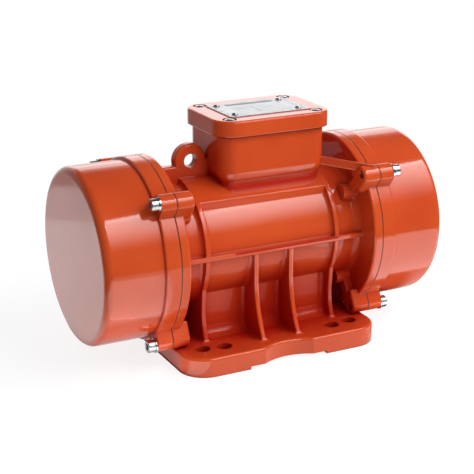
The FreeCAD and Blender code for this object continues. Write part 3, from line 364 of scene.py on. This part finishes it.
# %% [markdown]
# Bare metals differ mostly in colour, in how rough they are and in the marks their making left. Each
# could have a material of its own. They share one function instead: it stretches a noise into fine
# lines, as a lathe or a brush does, and lets them break up the roughness. The lines are given as marks
# in a metre along X, Y and Z, so a small number draws the marks out along that axis.

# %% bare metals
EVEN_GRAIN = (900, 900, 900)
COARSE_GRAIN = (700, 700, 700)
BRUSHED = (25, 1600, 1600)
LINE_DEPTH = 0.00002
LINE_STRENGTH = 0.4
LINE_SPAN = (0.25, 0.75)
LINE_ROUGHNESS_SHARES = (0.7, 1.35)
METAL_EDGE_RADIUS = 0.0003
STAINS_PER_METRE = 60
STAIN_SPAN = (0.35, 0.75)
STAIN_SHARE = 0.72
BARE_METALS = {
    "zinc_steel": dict(colour=(0.62, 0.63, 0.64), roughness=0.2, depth=0.000004),
    "plate_aluminium": dict(colour=(0.74, 0.74, 0.75), roughness=0.32, lines=BRUSHED),
    "terminal_brass": dict(colour=(0.70, 0.50, 0.20), roughness=0.30),
    "core_steel": dict(colour=(0.30, 0.31, 0.33), roughness=0.45, lines=(2000, 60, 60)),
    "winding_copper": dict(colour=(0.60, 0.22, 0.09), roughness=0.28, lines=(60, 1500, 1500)),
    "cage_aluminium": dict(colour=(0.66, 0.67, 0.68), roughness=0.42),
    "ground_steel": dict(colour=(0.56, 0.57, 0.58), roughness=0.22, lines=(2500, 80, 80)),
    "bearing_steel": dict(colour=(0.60, 0.60, 0.61), roughness=0.12),
    "cage_brass": dict(colour=(0.66, 0.45, 0.16), roughness=0.32),
    "shield_iron": dict(colour=(0.16, 0.16, 0.17), roughness=0.6, lines=COARSE_GRAIN, depth=0.0001),
    "black_screw_steel": dict(colour=(0.05, 0.05, 0.052), roughness=0.38),
    "weight_steel": dict(colour=(0.36, 0.37, 0.39), roughness=0.4, lines=(60, 1200, 1200)),
}


def tool_marks(wire, place, lines):
    """A noise drawn out into fine lines."""
    stretched = wire.node("ShaderNodeMapping", None, {"Vector": place, "Scale": lines})
    return noise(wire, stretched, scale=1.0, detail=3.0, roughness=0.6)


def bare_metal(name, colour, roughness, lines=EVEN_GRAIN, depth=LINE_DEPTH):
    """A metal with its making marks, duller where it is stained."""
    material, wire, place = new_material(name)
    marks = tool_marks(wire, place, lines)
    stains = noise(wire, place, STAINS_PER_METRE, detail=3.0)
    rounded = rounded_edges(wire, METAL_EDGE_RADIUS, samples=6)
    stained = tuple(STAIN_SHARE * value for value in colour)
    show(wire, principled(wire, {
        "Base Color": mixed(ranged(stains, STAIN_SPAN, 0.0, 1.0), (*colour, 1), (*stained, 1)),
        "Metallic": 1.0,
        "Roughness": ranged(marks, LINE_SPAN, *(roughness * share for share in LINE_ROUGHNESS_SHARES)),
        "Normal": bump(wire, marks, distance=depth, strength=LINE_STRENGTH, normal=rounded),
    }))
    return material


finishes = {slot: bare_metal(slot, **look) for slot, look in BARE_METALS.items()}
print("bare metals", len(finishes))

# %% [markdown]
# Rubber seals, the gland and the terminal board are moulded, so there is no metal under their colour. A
# dark colour alone would look like a hole. A fine grain from the mould and a little dust make it a
# surface.

# %% rubber and plastic
DUST_PER_METRE = 90
DUST_COLOUR_SPAN = (0.45, 0.8)
DUST_ROUGH_SPAN = (0.3, 0.7)
DUST_PALER = 1.8
DUST_LIFT = 0.01
DUST_ROUGHNESS_SHARES = (0.85, 1.2)
GRAIN_STRENGTH = 0.5
MOULDED_EDGE_RADIUS = 0.0005
MOULDED = {
    "black_rubber": dict(colour=(0.015, 0.015, 0.016), roughness=0.75, grain_per_metre=1500, depth=0.00004),
    "gland_plastic": dict(colour=(0.022, 0.022, 0.024), roughness=0.45, grain_per_metre=2200, depth=0.00003),
    "board_plastic": dict(colour=(0.09, 0.035, 0.02), roughness=0.4, grain_per_metre=1800, depth=0.00003),
}


def moulded(name, colour, roughness, grain_per_metre, depth):
    """A moulded surface with grain, paler and rougher where dust lies."""
    material, wire, place = new_material(name)
    grain = noise(wire, place, grain_per_metre)
    dust = noise(wire, place, DUST_PER_METRE, detail=4.0)
    rounded = rounded_edges(wire, MOULDED_EDGE_RADIUS, samples=6)
    dusty = tuple(DUST_PALER * value + DUST_LIFT for value in colour)
    show(wire, principled(wire, {
        "Base Color": mixed(ranged(dust, DUST_COLOUR_SPAN, 0.0, 1.0), (*colour, 1), (*dusty, 1)),
        "Roughness": ranged(dust, DUST_ROUGH_SPAN, *(roughness * share for share in DUST_ROUGHNESS_SHARES)),
        "Normal": bump(wire, grain, distance=depth, strength=GRAIN_STRENGTH, normal=rounded),
    }))
    return material


finishes.update({slot: moulded(slot, **look) for slot, look in MOULDED.items()})
print("moulded", list(MOULDED))

# %% [markdown]
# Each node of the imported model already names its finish, so the finishes are handed out by that name
# and no list of nodes is needed. The covers and the lid are smoother than the sand-cast body and take
# the smoother enamel.

# %% hand out the finishes
SMOOTH_PAINTED = ("left_weight_cover", "right_weight_cover", "terminal_box_lid")

finishes["orange_paint"] = cast_enamel
for subpart in frame["record"]["subparts"]:
    nodes[subpart["node"]].material_slots[0].material = finishes[subpart["material_slot"]]
for name in SMOOTH_PAINTED:
    nodes[name].material_slots[0].material = drawn_enamel

# %% [markdown]
# The rating plate on the lid is a thin sheet of satin aluminium with a printed form. This one has an
# empty form: a frame, a plain field and a few rules. The lines could be thin solids, but ink has no
# height. Comparing the Object coordinates with a few lengths makes each line, so the print stays sharp
# at any distance.

# %% rating plate
FRAME_HALF_LENGTH, FRAME_HALF_WIDTH = 0.0335, 0.0215
FRAME_LINE = 0.0005
FIELD_HALF_LENGTH = 0.022
FIELD_SPAN = (0.0125, 0.0185)
RULES = (-0.0155, -0.0105, -0.0055, -0.0005, 0.0045)
RULE_HALF_LENGTH = 0.024
RULE_HALF_WIDTH = 0.0003
DIVIDER = -0.004
INK = (0.05, 0.07, 0.11, 1)
INK_SHARE = 0.8
INK_OVER_METAL = 0.7
SATIN = (0.70, 0.70, 0.71, 1)
SATIN_DULL = (0.58, 0.59, 0.61, 1)
SATIN_ROUGHNESS = (0.36, 0.52)
SMEARS_PER_METRE = 70
SMEAR_SPAN = (0.35, 0.7)
PLATE_EDGE_RADIUS = 0.0004


def printed_form(along, across):
    """1 where the plate carries ink."""
    outer = near(along, 0, FRAME_HALF_LENGTH) * near(across, 0, FRAME_HALF_WIDTH)
    inner = near(along, 0, FRAME_HALF_LENGTH - FRAME_LINE) * near(across, 0, FRAME_HALF_WIDTH - FRAME_LINE)
    field = near(along, 0, FIELD_HALF_LENGTH) * within(across, *FIELD_SPAN)
    divider = near(along, DIVIDER, RULE_HALF_WIDTH) * within(across, RULES[0], RULES[-1])
    ink = outer - inner + field + divider
    for rule in RULES:
        ink = ink + near(along, 0, RULE_HALF_LENGTH) * near(across, rule, RULE_HALF_WIDTH)
    return ink


def printed_plate():
    """Brushed aluminium with smears, and ink over it."""
    material, wire, place = new_material("printed_plate")
    ink = printed_form(axis(wire, place, "X") - BOX_MIDDLE, axis(wire, place, "Y"))
    brushing = tool_marks(wire, place, BRUSHED)
    smears = noise(wire, place, SMEARS_PER_METRE, detail=3.0)
    rounded = rounded_edges(wire, PLATE_EDGE_RADIUS, samples=4)
    bare = mixed(ranged(smears, SMEAR_SPAN, 0.0, 1.0), SATIN, SATIN_DULL)
    show(wire, principled(wire, {
        "Base Color": mixed(ink * INK_SHARE, bare, INK),
        "Metallic": 1 - ink * INK_OVER_METAL,
        "Roughness": ranged(brushing, LINE_SPAN, *SATIN_ROUGHNESS),
        "Normal": bump(wire, brushing, distance=LINE_DEPTH, strength=LINE_STRENGTH, normal=rounded),
    }))
    return material


nodes["rating_plate"].material_slots[0].material = printed_plate()
print("plate rules", len(RULES))

# %% [markdown]
# Screws and the gland's nut are turned pieces. They could start from cylinders that are cut and
# bevelled, but a lathe works from a profile, and so does a spin: the points of one half of the outline
# go once round the axis. The columns of points that the spin leaves can then be pulled in to make
# teeth, flutes or a hexagon.

# %% turning tools
WELD_DISTANCE = 1e-6
DOME_STEPS = 5


def dome(rim, top, base, rise):
    """Points of a quarter ellipse, from the radius of the rim at the base up and in to that of the top."""
    turns = [math.pi / 2 * step / DOME_STEPS for step in range(DOME_STEPS + 1)]
    return [(top + (rim - top) * math.cos(turn), base + rise * math.sin(turn)) for turn in turns]


def turned_piece(profile, segments):
    """Spin a profile of (radius, height) points about the Z axis."""
    shape = bmesh.new()
    points = [shape.verts.new((radius, 0, height)) for radius, height in profile]
    edges = [shape.edges.new(pair) for pair in zip(points, points[1:])]
    bmesh.ops.spin(
        shape, geom=points + edges, cent=(0, 0, 0), axis=(0, 0, 1), angle=2 * math.pi, steps=segments,
        use_merge=True)
    bmesh.ops.remove_doubles(shape, verts=shape.verts, dist=WELD_DISTANCE)
    bmesh.ops.recalc_face_normals(shape, faces=shape.faces)
    return shape


def on_radius(vert, radius):
    """Whether a point lies on a circle about the axis."""
    return abs(math.hypot(vert.co.x, vert.co.y) - radius) < WELD_DISTANCE


def column(vert, segments):
    """The number of the spin step that a point belongs to."""
    return round(math.atan2(vert.co.y, vert.co.x) / (2 * math.pi) * segments) % segments


def pull(vert, radius):
    """Move a point straight towards the axis, to a radius."""
    scale = radius / math.hypot(vert.co.x, vert.co.y)
    vert.co.x *= scale
    vert.co.y *= scale


print("turning tools ready")

# %% [markdown]
# A finished shape becomes a Blender object. The screws of one kind could be an object each, but the
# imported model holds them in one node, so one mesh with a copy at each place is simpler to put in its
# stead. The place is in the mesh, and the object itself stays at the origin.

# %% new pieces


def copied(shape, matrices):
    """Join copies of a shape, one at each matrix, and drop the shape."""
    whole = bmesh.new()
    for matrix in matrices:
        copy = shape.copy()
        bmesh.ops.transform(copy, matrix=matrix, verts=copy.verts)
        carrier = bpy.data.meshes.new("carrier")
        copy.to_mesh(carrier)
        whole.from_mesh(carrier)
        bpy.data.meshes.remove(carrier)
        copy.free()
    shape.free()
    return whole


def new_piece(name, shape, slot, *replaced):
    """Make a piece of the housing from a shape, in the place of the nodes it replaces."""
    mesh = bpy.data.meshes.new(name)
    shape.to_mesh(mesh)
    shape.free()
    mesh.materials.append(finishes[slot])
    piece = bpy.data.objects.new(name, mesh)
    scene.collection.objects.link(piece)
    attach(piece, "housing")
    if replaced:
        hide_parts(*replaced)
    print(name, "faces", len(mesh.polygons))


print("piece tools ready")

# %% [markdown]
# The covers are held by socket head screws with a knurled rim. A knurl is a row of small teeth. A bump
# could draw it, but the rim would stay round in outline, so every other column of points along the rim
# is pulled in. The hexagon socket comes from the same turned points: those on the socket's circle go in
# until they lie on a hexagon.

# %% cover screws
LUG_CIRCLE = 0.0826
LUG_ANGLES = (41, 139, -53, 233)
HEAD_SEAT = 0.1054
SHANK_END = 0.078
SHANK_RADIUS = 0.003
HEAD_RADIUS = 0.005
HEAD_HEIGHT = 0.006
RIM_CHAMFER = 0.0006
TOOTH_DEPTH = 0.00004
SOCKET_RADIUS = 0.003
SOCKET_DEPTH = 0.003
SOCKET_CHAMFER = 0.0002
HEXAGON_SIDE = math.pi / 3
KNURL_SEGMENTS = 96


def socket_screw():
    """A screw that stands on its head's seat at the origin, with the head upwards."""
    tip = SHANK_END - HEAD_SEAT
    socket_floor = HEAD_HEIGHT - SOCKET_DEPTH
    profile = [
        (0, tip), (SHANK_RADIUS - RIM_CHAMFER, tip), (SHANK_RADIUS, tip + RIM_CHAMFER), (SHANK_RADIUS, 0),
        (HEAD_RADIUS - TOOTH_DEPTH, 0), (HEAD_RADIUS, RIM_CHAMFER),
        (HEAD_RADIUS, HEAD_HEIGHT - RIM_CHAMFER), (HEAD_RADIUS - RIM_CHAMFER, HEAD_HEIGHT),
        (SOCKET_RADIUS + SOCKET_CHAMFER, HEAD_HEIGHT), (SOCKET_RADIUS, HEAD_HEIGHT - SOCKET_CHAMFER),
        (SOCKET_RADIUS, socket_floor), (0, socket_floor - SOCKET_RADIUS / 2),
    ]
    shape = turned_piece(profile, KNURL_SEGMENTS)
    to_flat = SOCKET_RADIUS * math.cos(HEXAGON_SIDE / 2)
    for vert in shape.verts:
        if on_radius(vert, HEAD_RADIUS) and column(vert, KNURL_SEGMENTS) % 2:
            pull(vert, HEAD_RADIUS - TOOTH_DEPTH)
        elif on_radius(vert, SOCKET_RADIUS) and vert.co.z > 0:
            turn = math.atan2(vert.co.y, vert.co.x) % HEXAGON_SIDE - HEXAGON_SIDE / 2
            pull(vert, to_flat / math.cos(turn))
    return shape


def screw_places(side):
    """Each screw's matrix; the left end is the right end turned about the upright axis."""
    lift = Matrix.Translation((0, 0, SHAFT_HEIGHT))
    turn = Matrix.Rotation(math.pi if side == "left" else 0, 4, "Z")
    lie = Matrix.Rotation(math.pi / 2, 4, "Y")
    places = []
    for angle in LUG_ANGLES:
        across = LUG_CIRCLE * math.cos(math.radians(angle))
        up = LUG_CIRCLE * math.sin(math.radians(angle))
        places.append(lift @ turn @ Matrix.Translation((HEAD_SEAT, across, up)) @ lie)
    return places


for side in ("left", "right"):
    screws = copied(socket_screw(), screw_places(side))
    new_piece(f"{side}_socket_screws", screws, "zinc_steel", f"{side}_cover_screws")

# %% [markdown]
# Four slotted screws hold the lid. Each sits in a round recess, and its head is domed, so the recess
# shows as a dark ring and the dome mirrors the bright sweep on one side only. The slot could be cut out
# with a Boolean modifier, which often leaves ragged faces. Here three cuts mark the sides and the floor
# of the slot, and the faces between them are extruded down to that floor.

# %% lid screws
LID_SCREW_SEAT = 0.1899
LID_SCREW_END = 0.1639
LID_SCREW_RADIUS = 0.0025
LID_HEAD_RADIUS = 0.0044
LID_HEAD_HEIGHT = 0.003
LID_HEAD_RIM = 0.0014
SLOT_HALF_WIDTH = 0.0006
SLOT_DEPTH = 0.0013
SLOT_FLOOR = LID_HEAD_HEIGHT - SLOT_DEPTH
LID_SCREW_SEGMENTS = 48
LID_SCREW_SPREAD = (0.0393, 0.0277)
CUT_TOLERANCE = 1e-7


def cut_slot(shape):
    """Sink the faces between the sides of the slot to its floor."""
    sides = [((0, side * SLOT_HALF_WIDTH, 0), (0, 1, 0)) for side in (-1, 1)]
    floor = ((0, 0, SLOT_FLOOR), (0, 0, 1))
    for point, normal in (*sides, floor):
        everything = [*shape.verts, *shape.edges, *shape.faces]
        bmesh.ops.bisect_plane(shape, geom=everything, dist=CUT_TOLERANCE, plane_co=point, plane_no=normal)
    in_slot = []
    for face in shape.faces:
        middle = face.calc_center_median()
        if abs(middle.y) < SLOT_HALF_WIDTH and middle.z > SLOT_FLOOR:
            in_slot.append(face)
    sunk = bmesh.ops.extrude_face_region(shape, geom=in_slot)["geom"]
    bmesh.ops.delete(shape, geom=in_slot, context="FACES")
    for item in sunk:
        if isinstance(item, bmesh.types.BMVert):
            item.co.z = SLOT_FLOOR
    bmesh.ops.remove_doubles(shape, verts=shape.verts, dist=WELD_DISTANCE)
    bmesh.ops.recalc_face_normals(shape, faces=shape.faces)


def slotted_screw():
    """A screw that stands on its head's seat at the origin, with the slot along X."""
    tip = LID_SCREW_END - LID_SCREW_SEAT
    head = dome(rim=LID_HEAD_RADIUS, top=0, base=LID_HEAD_RIM, rise=LID_HEAD_HEIGHT - LID_HEAD_RIM)
    profile = [(0, tip), (LID_SCREW_RADIUS, tip), (LID_SCREW_RADIUS, 0), (LID_HEAD_RADIUS, 0), *head]
    shape = turned_piece(profile, LID_SCREW_SEGMENTS)
    cut_slot(shape)
    return shape


lid_corners = [(x, y) for x in (-LID_SCREW_SPREAD[0], LID_SCREW_SPREAD[0])
               for y in (-LID_SCREW_SPREAD[1], LID_SCREW_SPREAD[1])]
lid_places = [Matrix.Translation((BOX_MIDDLE + x, y, LID_SCREW_SEAT)) for x, y in lid_corners]
new_piece("slotted_lid_screws", copied(slotted_screw(), lid_places), "zinc_steel", "lid_screws")

# %% [markdown]
# Where the round belly of the terminal box meets the barrel, the casting has a hollow fillet. The
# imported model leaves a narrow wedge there. Its mesh could be bevelled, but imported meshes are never
# changed, so a ring of its own lies in the wedge. Its section is a curve of three points: it leaves the
# belly, bends, and runs out on the barrel. A last point lies inside the metal and closes the ring.

# %% section of the fillet
BOX_CORE = (0.035, 0.021)
BOX_CORNER = 0.013
BELLY_RADIUS = 0.0115
BELLY_BOTTOM = 0.0495
BELLY_LEAVE = math.radians(35)
FILLET_BEND = (-0.0068, -0.0018)
FILLET_FOOT = -0.0015
BURIED = 0.0001
BURIED_FOOT = (-0.009, 0.003)


def roof_height(y):
    """The height of the barrel's thicker top above the shaft."""
    return math.sqrt(ROOF_RADIUS * ROOF_RADIUS - y * y)


def wall_point(vert, offset):
    """The place in plan at a distance outside the box's wall, beside a point of the outline."""
    core = Vector((
        max(-BOX_CORE[0], min(BOX_CORE[0], vert.co.x - BOX_MIDDLE)),
        max(-BOX_CORE[1], min(BOX_CORE[1], vert.co.y)),
    ))
    outward = (Vector((vert.co.x - BOX_MIDDLE, vert.co.y)) - core).normalized()
    place = core + outward * (BOX_CORNER + offset)
    return place.x + BOX_MIDDLE, place.y


def fillet_point(vert, share):
    """A point of the fillet's curve; share runs from 0 on the belly to 1 on the barrel."""
    start = Vector((-BELLY_RADIUS * (1 - math.cos(BELLY_LEAVE)) - BURIED,
                    BELLY_BOTTOM + BELLY_RADIUS * (1 - math.sin(BELLY_LEAVE))))
    bend = Vector((FILLET_BEND[0], BELLY_BOTTOM + FILLET_BEND[1]))
    end = Vector((FILLET_FOOT, roof_height(wall_point(vert, FILLET_FOOT)[1]) - BURIED))
    offset, height = start.lerp(bend, share).lerp(bend.lerp(end, share), share)
    return Vector((*wall_point(vert, offset), SHAFT_HEIGHT + height))


def buried_point(vert):
    """A point inside the metal behind the fillet."""
    x, y = wall_point(vert, BURIED_FOOT[0])
    return Vector((x, y, SHAFT_HEIGHT + roof_height(y) - BURIED_FOOT[1]))


print("fillet leaves the belly at", round(math.degrees(BELLY_LEAVE)), "degrees")

# %% [markdown]
# The ring starts as the box's outline: a rectangle with bevelled corners, without its face. It is
# extruded edge by edge, and each new loop is laid on the next point of the section. Its edges on the
# belly and on the barrel stay sharp in shading, so that no false highlight runs along them.

# %% fillet under the terminal box
FILLET_STEPS = 6
CORNER_SEGMENTS = 10
SIDE_CUTS = 18


def box_outline():
    """The outline of the box in plan: one closed loop of short edges."""
    shape = bmesh.new()
    bmesh.ops.create_grid(shape, x_segments=1, y_segments=1, size=1)
    half_box = (BOX_CORE[0] + BOX_CORNER, BOX_CORE[1] + BOX_CORNER, 1)
    bmesh.ops.scale(shape, vec=half_box, verts=shape.verts)
    bmesh.ops.translate(shape, vec=(BOX_MIDDLE, 0, 0), verts=shape.verts)
    bmesh.ops.bevel(
        shape, geom=[*shape.verts, *shape.edges], offset=BOX_CORNER, segments=CORNER_SEGMENTS, profile=0.5,
        affect="VERTICES", material=-1)
    sides = [edge for edge in shape.edges if edge.calc_length() > BOX_CORNER]
    bmesh.ops.subdivide_edges(shape, edges=sides, cuts=SIDE_CUTS)
    bmesh.ops.delete(shape, geom=shape.faces[:], context="FACES_ONLY")
    return shape


def fillet_ring():
    """The outline extruded along the fillet's section and closed inside the metal."""
    shape = box_outline()
    loops = [list(shape.edges)]
    for step in range(FILLET_STEPS + 1):
        made = bmesh.ops.extrude_edge_only(shape, edges=loops[-1])["geom"]
        loops.append([item for item in made if isinstance(item, bmesh.types.BMEdge)])
    for step, loop in enumerate(loops):
        for vert in {vert for edge in loop for vert in edge.verts}:
            if step <= FILLET_STEPS:
                vert.co = fillet_point(vert, step / FILLET_STEPS)
            else:
                vert.co = buried_point(vert)
    bmesh.ops.bridge_loops(shape, edges=loops[0] + loops[-1])
    bmesh.ops.recalc_face_normals(shape, faces=shape.faces)
    for face in shape.faces:
        face.smooth = True
    for edge in loops[0] + loops[FILLET_STEPS]:
        edge.smooth = False
    return shape


new_piece("box_fillet", fillet_ring(), "orange_paint")

# %% [markdown]
# The cable gland at the back has a cap nut that is turned by hand, so its rim is fluted and its end is
# domed. The flutes could be cut one by one. Pulling in columns of turned points, as for the screws,
# keeps the mesh closed. Flutes are wider than a knurl: two columns in each six go in.

# %% gland cap nut
GLAND_PLACE = Vector((BOX_MIDDLE, 0.044, 0.1625))
CAP_RADIUS = 0.013
CAP_LENGTH = 0.018
CAP_MOUTH = 0.0065
CAP_BORE = 0.0086
CAP_WALL = 0.003
CAP_DOME = 0.005
MOUTH_CHAMFER = 0.0008
FLUTE_DEPTH = 0.0006
FLUTE_LEAD = 0.001
FLUTE_SEGMENTS = 96
FLUTE_PERIOD = 6
FLUTE_COLUMNS = 2


def cap_nut():
    """A cap nut that stands on its open end at the origin, with the domed end upwards."""
    shoulder = CAP_LENGTH - CAP_DOME
    root = CAP_RADIUS - FLUTE_DEPTH
    end = dome(rim=root, top=CAP_MOUTH + MOUTH_CHAMFER, base=shoulder, rise=CAP_DOME)
    profile = [
        (CAP_BORE, 0), (root, 0), (CAP_RADIUS, FLUTE_LEAD), (CAP_RADIUS, shoulder - FLUTE_LEAD), *end,
        (CAP_MOUTH, CAP_LENGTH - MOUTH_CHAMFER), (CAP_MOUTH, CAP_LENGTH - CAP_WALL),
        (CAP_BORE, CAP_LENGTH - CAP_WALL), (CAP_BORE, 0),
    ]
    shape = turned_piece(profile, FLUTE_SEGMENTS)
    for vert in shape.verts:
        in_flute = column(vert, FLUTE_SEGMENTS) % FLUTE_PERIOD < FLUTE_COLUMNS
        if in_flute and on_radius(vert, CAP_RADIUS):
            pull(vert, root)
    return shape


lie_back = Matrix.Translation(GLAND_PLACE) @ Matrix.Rotation(-math.pi / 2, 4, "X")
new_piece("fluted_cap_nut", copied(cap_nut(), [lie_back]), "gland_plastic", "gland_cap_nut")

# %% [markdown]
# The motor stands on a white table in front of a white sweep. A plain white table would need so much
# light to look white that the paint would wash out. So the table is a disc that glows a little for the
# camera: it stays white and keeps only a soft shadow under the foot. In the gloss the table carries a
# painted shadow, dark under the motor where no light reaches, and it is dark at its front left, where the
# table ends.

# %% table
TABLE_RADIUS = 0.45
TABLE_SEGMENTS = 96

table_mesh = bpy.data.meshes.new("table")
disc = bmesh.new()
bmesh.ops.create_circle(disc, cap_ends=True, segments=TABLE_SEGMENTS, radius=TABLE_RADIUS)
disc.to_mesh(table_mesh)
disc.free()
table = bpy.data.objects.new("table", table_mesh)
scene.collection.objects.link(table)
print("table radius", TABLE_RADIUS)

# %% finish of the table
TABLE_GLOW = 0.84
SHADOW_SHARE = 0.25
SHADOW_UNDER_LENGTH = (0.15, 0.18)
SHADOW_UNDER_WIDTH = (0.06, 0.08)
LEFT_END = (-0.34, -0.26)
FRONT_END = (0.0, 0.10)
WHITE = (1, 1, 1, 1)
MATT_WHITE = (0.9, 0.9, 0.9, 1)
MATT_DARK = (0.06, 0.06, 0.06, 1)


def ray_kinds(wire):
    """Two masks: 1 for the rays of the camera, and 1 for those that gloss or glass sends on."""
    kinds = ("Camera", "Glossy", "Transmission")
    from_camera, from_gloss, from_glass = (
        wire.node("ShaderNodeLightPath", output=f"Is {kind} Ray") for kind in kinds)
    return from_camera, from_gloss + from_glass


table_white, wire, place = new_material("table_white")
x, y = axis(wire, place, "X"), axis(wire, place, "Y")
camera_ray, sent_on = ray_kinds(wire)
# Painted shadow: under the motor the table turns dark for the rays that gloss sends on.
under = ranged(abs(x), SHADOW_UNDER_LENGTH, 1.0, 0.0) * ranged(abs(y), SHADOW_UNDER_WIDTH, 1.0, 0.0)
front_left = ranged(x, LEFT_END, 1.0, 0.0) * ranged(y, FRONT_END, 1.0, 0.0)
mirrored = sent_on * (1 - under) * (1 - front_left)
matt_colour = mixed(sent_on * (1 - mirrored), MATT_WHITE, MATT_DARK)
matt = wire.node("ShaderNodeBsdfDiffuse", None, {"Color": matt_colour})
glow = wire.node("ShaderNodeEmission", None, {"Color": WHITE, "Strength": TABLE_GLOW / (1 - SHADOW_SHARE)})
glowing = (camera_ray + mirrored) * (1 - SHADOW_SHARE)
show(wire, wire.node("ShaderNodeMixShader", None, {0: glowing, 1: matt, 2: glow}))
table_mesh.materials.append(table_white)
print("table finish", table_white.name)

# %% [markdown]
# The sweep behind the motor is white up to about thirty degrees, and the studio above and in front of
# it is dim. Gloss paint shows that contrast, a matt surface gets an even light that is weaker from the
# left, and the camera always sees plain white. Walls and a ceiling could be built for this. A world
# that tells the kinds of rays apart needs none of them, and each of the three views can be set alone.

# %% studio surroundings
DIM = (0.08, 0.08, 0.085, 1)
LEFT_GREY = (0.5, 0.5, 0.5, 1)
AMBIENT = 0.40
SWEEP_TOP = (0.42, 0.62)
SWEEP_DEPTH = (0.4, 0.75)
SWEEP_LEFT = (-0.5, 0.0)
SWEEP_LEFT_SHARE = 0.4
GREY_SIDE = (-1.0, 0.1)


def background(wire, colour, strength):
    """What one kind of ray finds around the motor."""
    return wire.node("ShaderNodeBackground", None, {"Color": colour, "Strength": strength})


world = bpy.data.worlds.new("studio")
scene.world = world
world.use_nodes = True
world.node_tree.nodes.clear()
wire = Wire(world.node_tree)
look = wire.node("ShaderNodeTexCoord", output="Generated")
to_right, to_back, upwards = (axis(wire, look, letter) for letter in "XYZ")
camera_ray, sent_on = ray_kinds(wire)
sweep = ranged(upwards, SWEEP_TOP, 1.0, 0.0) * ranged(to_back, SWEEP_DEPTH, 0.0, 1.0)
sweep = sweep * ranged(to_right, SWEEP_LEFT, SWEEP_LEFT_SHARE, 1.0)
around = mixed(ranged(to_right, GREY_SIDE, 1.0, 0.0), WHITE, LEFT_GREY)
even_light = background(wire, around, AMBIENT)
mirror_view = background(wire, mixed(sweep, DIM, WHITE), 1.0)
white_view = background(wire, WHITE, 1.0)
unseen = wire.node("ShaderNodeMixShader", None, {0: sent_on, 1: even_light, 2: mirror_view})
all_rays = wire.node("ShaderNodeMixShader", None, {0: camera_ray, 1: unseen, 2: white_view})
wire.node("ShaderNodeOutputWorld", None, {"Surface": all_rays})
print("ambient", AMBIENT)

# %% [markdown]
# Soft lamps shape the gloss. They could be given in watts, but a photographer thinks of how bright a
# softbox looks, so each lamp has a radiance and its power follows from its size. Some are softboxes
# that face the motor, and some are cards that lie on the table.

# %% lamp tools
CARD_HEIGHT = 0.002


def area_lamp(name, size, radiance):
    """A rectangular lamp that the camera doesn't see."""
    data = bpy.data.lights.new(name, "AREA")
    data.shape = "RECTANGLE"
    data.size, data.size_y = size
    data.energy = radiance * math.pi * size[0] * size[1]
    lamp = bpy.data.objects.new(name, data)
    lamp.visible_camera = False
    scene.collection.objects.link(lamp)
    return lamp


def softbox(name, azimuth, elevation, distance, size, radiance):
    """A lamp that faces the motor."""
    outward = direction_of(azimuth, elevation)
    lamp = area_lamp(name, size, radiance)
    lamp.location = MOTOR_MIDDLE + outward * distance
    lamp.rotation_euler = outward.to_track_quat("Z", "Y").to_euler()
    return lamp


def fade_down(lamp, strip, strip_share):
    """Let a softbox fade to nothing at its lower edge, with a brighter strip along the upper one."""
    lamp.data.use_nodes = True
    lamp.data.node_tree.nodes.clear()
    wire = Wire(lamp.data.node_tree)
    up = axis(wire, wire.node("ShaderNodeNewGeometry", output="Parametric"), "Y")
    strength = ranged(up, (1 - strip, 1.0), 0.0, strip_share) + ranged(up, (0.0, 1.0), 0.0, 1 - strip_share)
    shine = wire.node("ShaderNodeEmission", None, {"Strength": strength})
    wire.node("ShaderNodeOutputLight", None, {"Surface": shine})


def table_card(name, place, size, turn, radiance, in_gloss=True):
    """A card that lies on the table face up: it either shows in the gloss or lights what is above it."""
    card = area_lamp(name, size, radiance)
    card.location = (*place, CARD_HEIGHT)
    card.rotation_euler = (math.pi, 0, math.radians(turn))
    card.visible_diffuse = not in_gloss
    card.visible_glossy = in_gloss
    return card


print("lamp tools ready")

# %% [markdown]
# A large softbox in front and to the right draws the bright bands along the drums: it is brightest
# along its upper edge, so the bands start sharply and fade downwards. A panel behind the motor shines
# in the lid. Two low fills, in front and at the back, light the upright walls and don't show in the
# gloss.

# %% softboxes
key = softbox("key_softbox", azimuth=40, elevation=37, distance=1.2, size=(1.25, 0.85), radiance=11.6)
fade_down(key, strip=0.12, strip_share=0.4)
low_fill = softbox("low_fill", azimuth=-10, elevation=6, distance=1.0, size=(0.9, 0.3), radiance=1.5)
back_fill = softbox("back_fill", azimuth=172, elevation=6, distance=1.0, size=(0.9, 0.4), radiance=2.5)
panel = softbox("sweep_panel", azimuth=155, elevation=19, distance=1.3, size=(1.3, 0.5), radiance=1.12)
for fill in (low_fill, back_fill):
    fill.visible_glossy = False
print("softboxes", [lamp.name for lamp in (key, low_fill, back_fill, panel)])

# %% [markdown]
# Three white cards on the table are there only for the gloss to mirror: one in the flat end of the left
# cover, two in the undersides of the drums. Two small ones do the opposite: they light the undersides,
# as a bright table does, and never show in the gloss.

# %% cards on the table
BOUNCE_PLACE = (0.125, -0.12)
BOUNCE_SIZE = (0.07, 0.12)
BOUNCE_RADIANCE = 1.3

cards = [
    table_card("left_card", place=(-0.215, 0.20), size=(0.20, 0.59), turn=-CAMERA_AZIMUTH, radiance=0.6),
    table_card("left_drum_card", place=(-0.137, -0.225), size=(0.20, 0.267), turn=18.5, radiance=1.6),
    table_card("right_drum_card", place=(0.235, -0.196), size=(0.23, 0.258), turn=0, radiance=1.6),
]
for side, sign in (("left", -1), ("right", 1)):
    place = (sign * BOUNCE_PLACE[0], BOUNCE_PLACE[1])
    cards.append(table_card(
        f"{side}_bounce", place, BOUNCE_SIZE, turn=0, radiance=BOUNCE_RADIANCE, in_gloss=False))
print("cards", [card.name for card in cards])
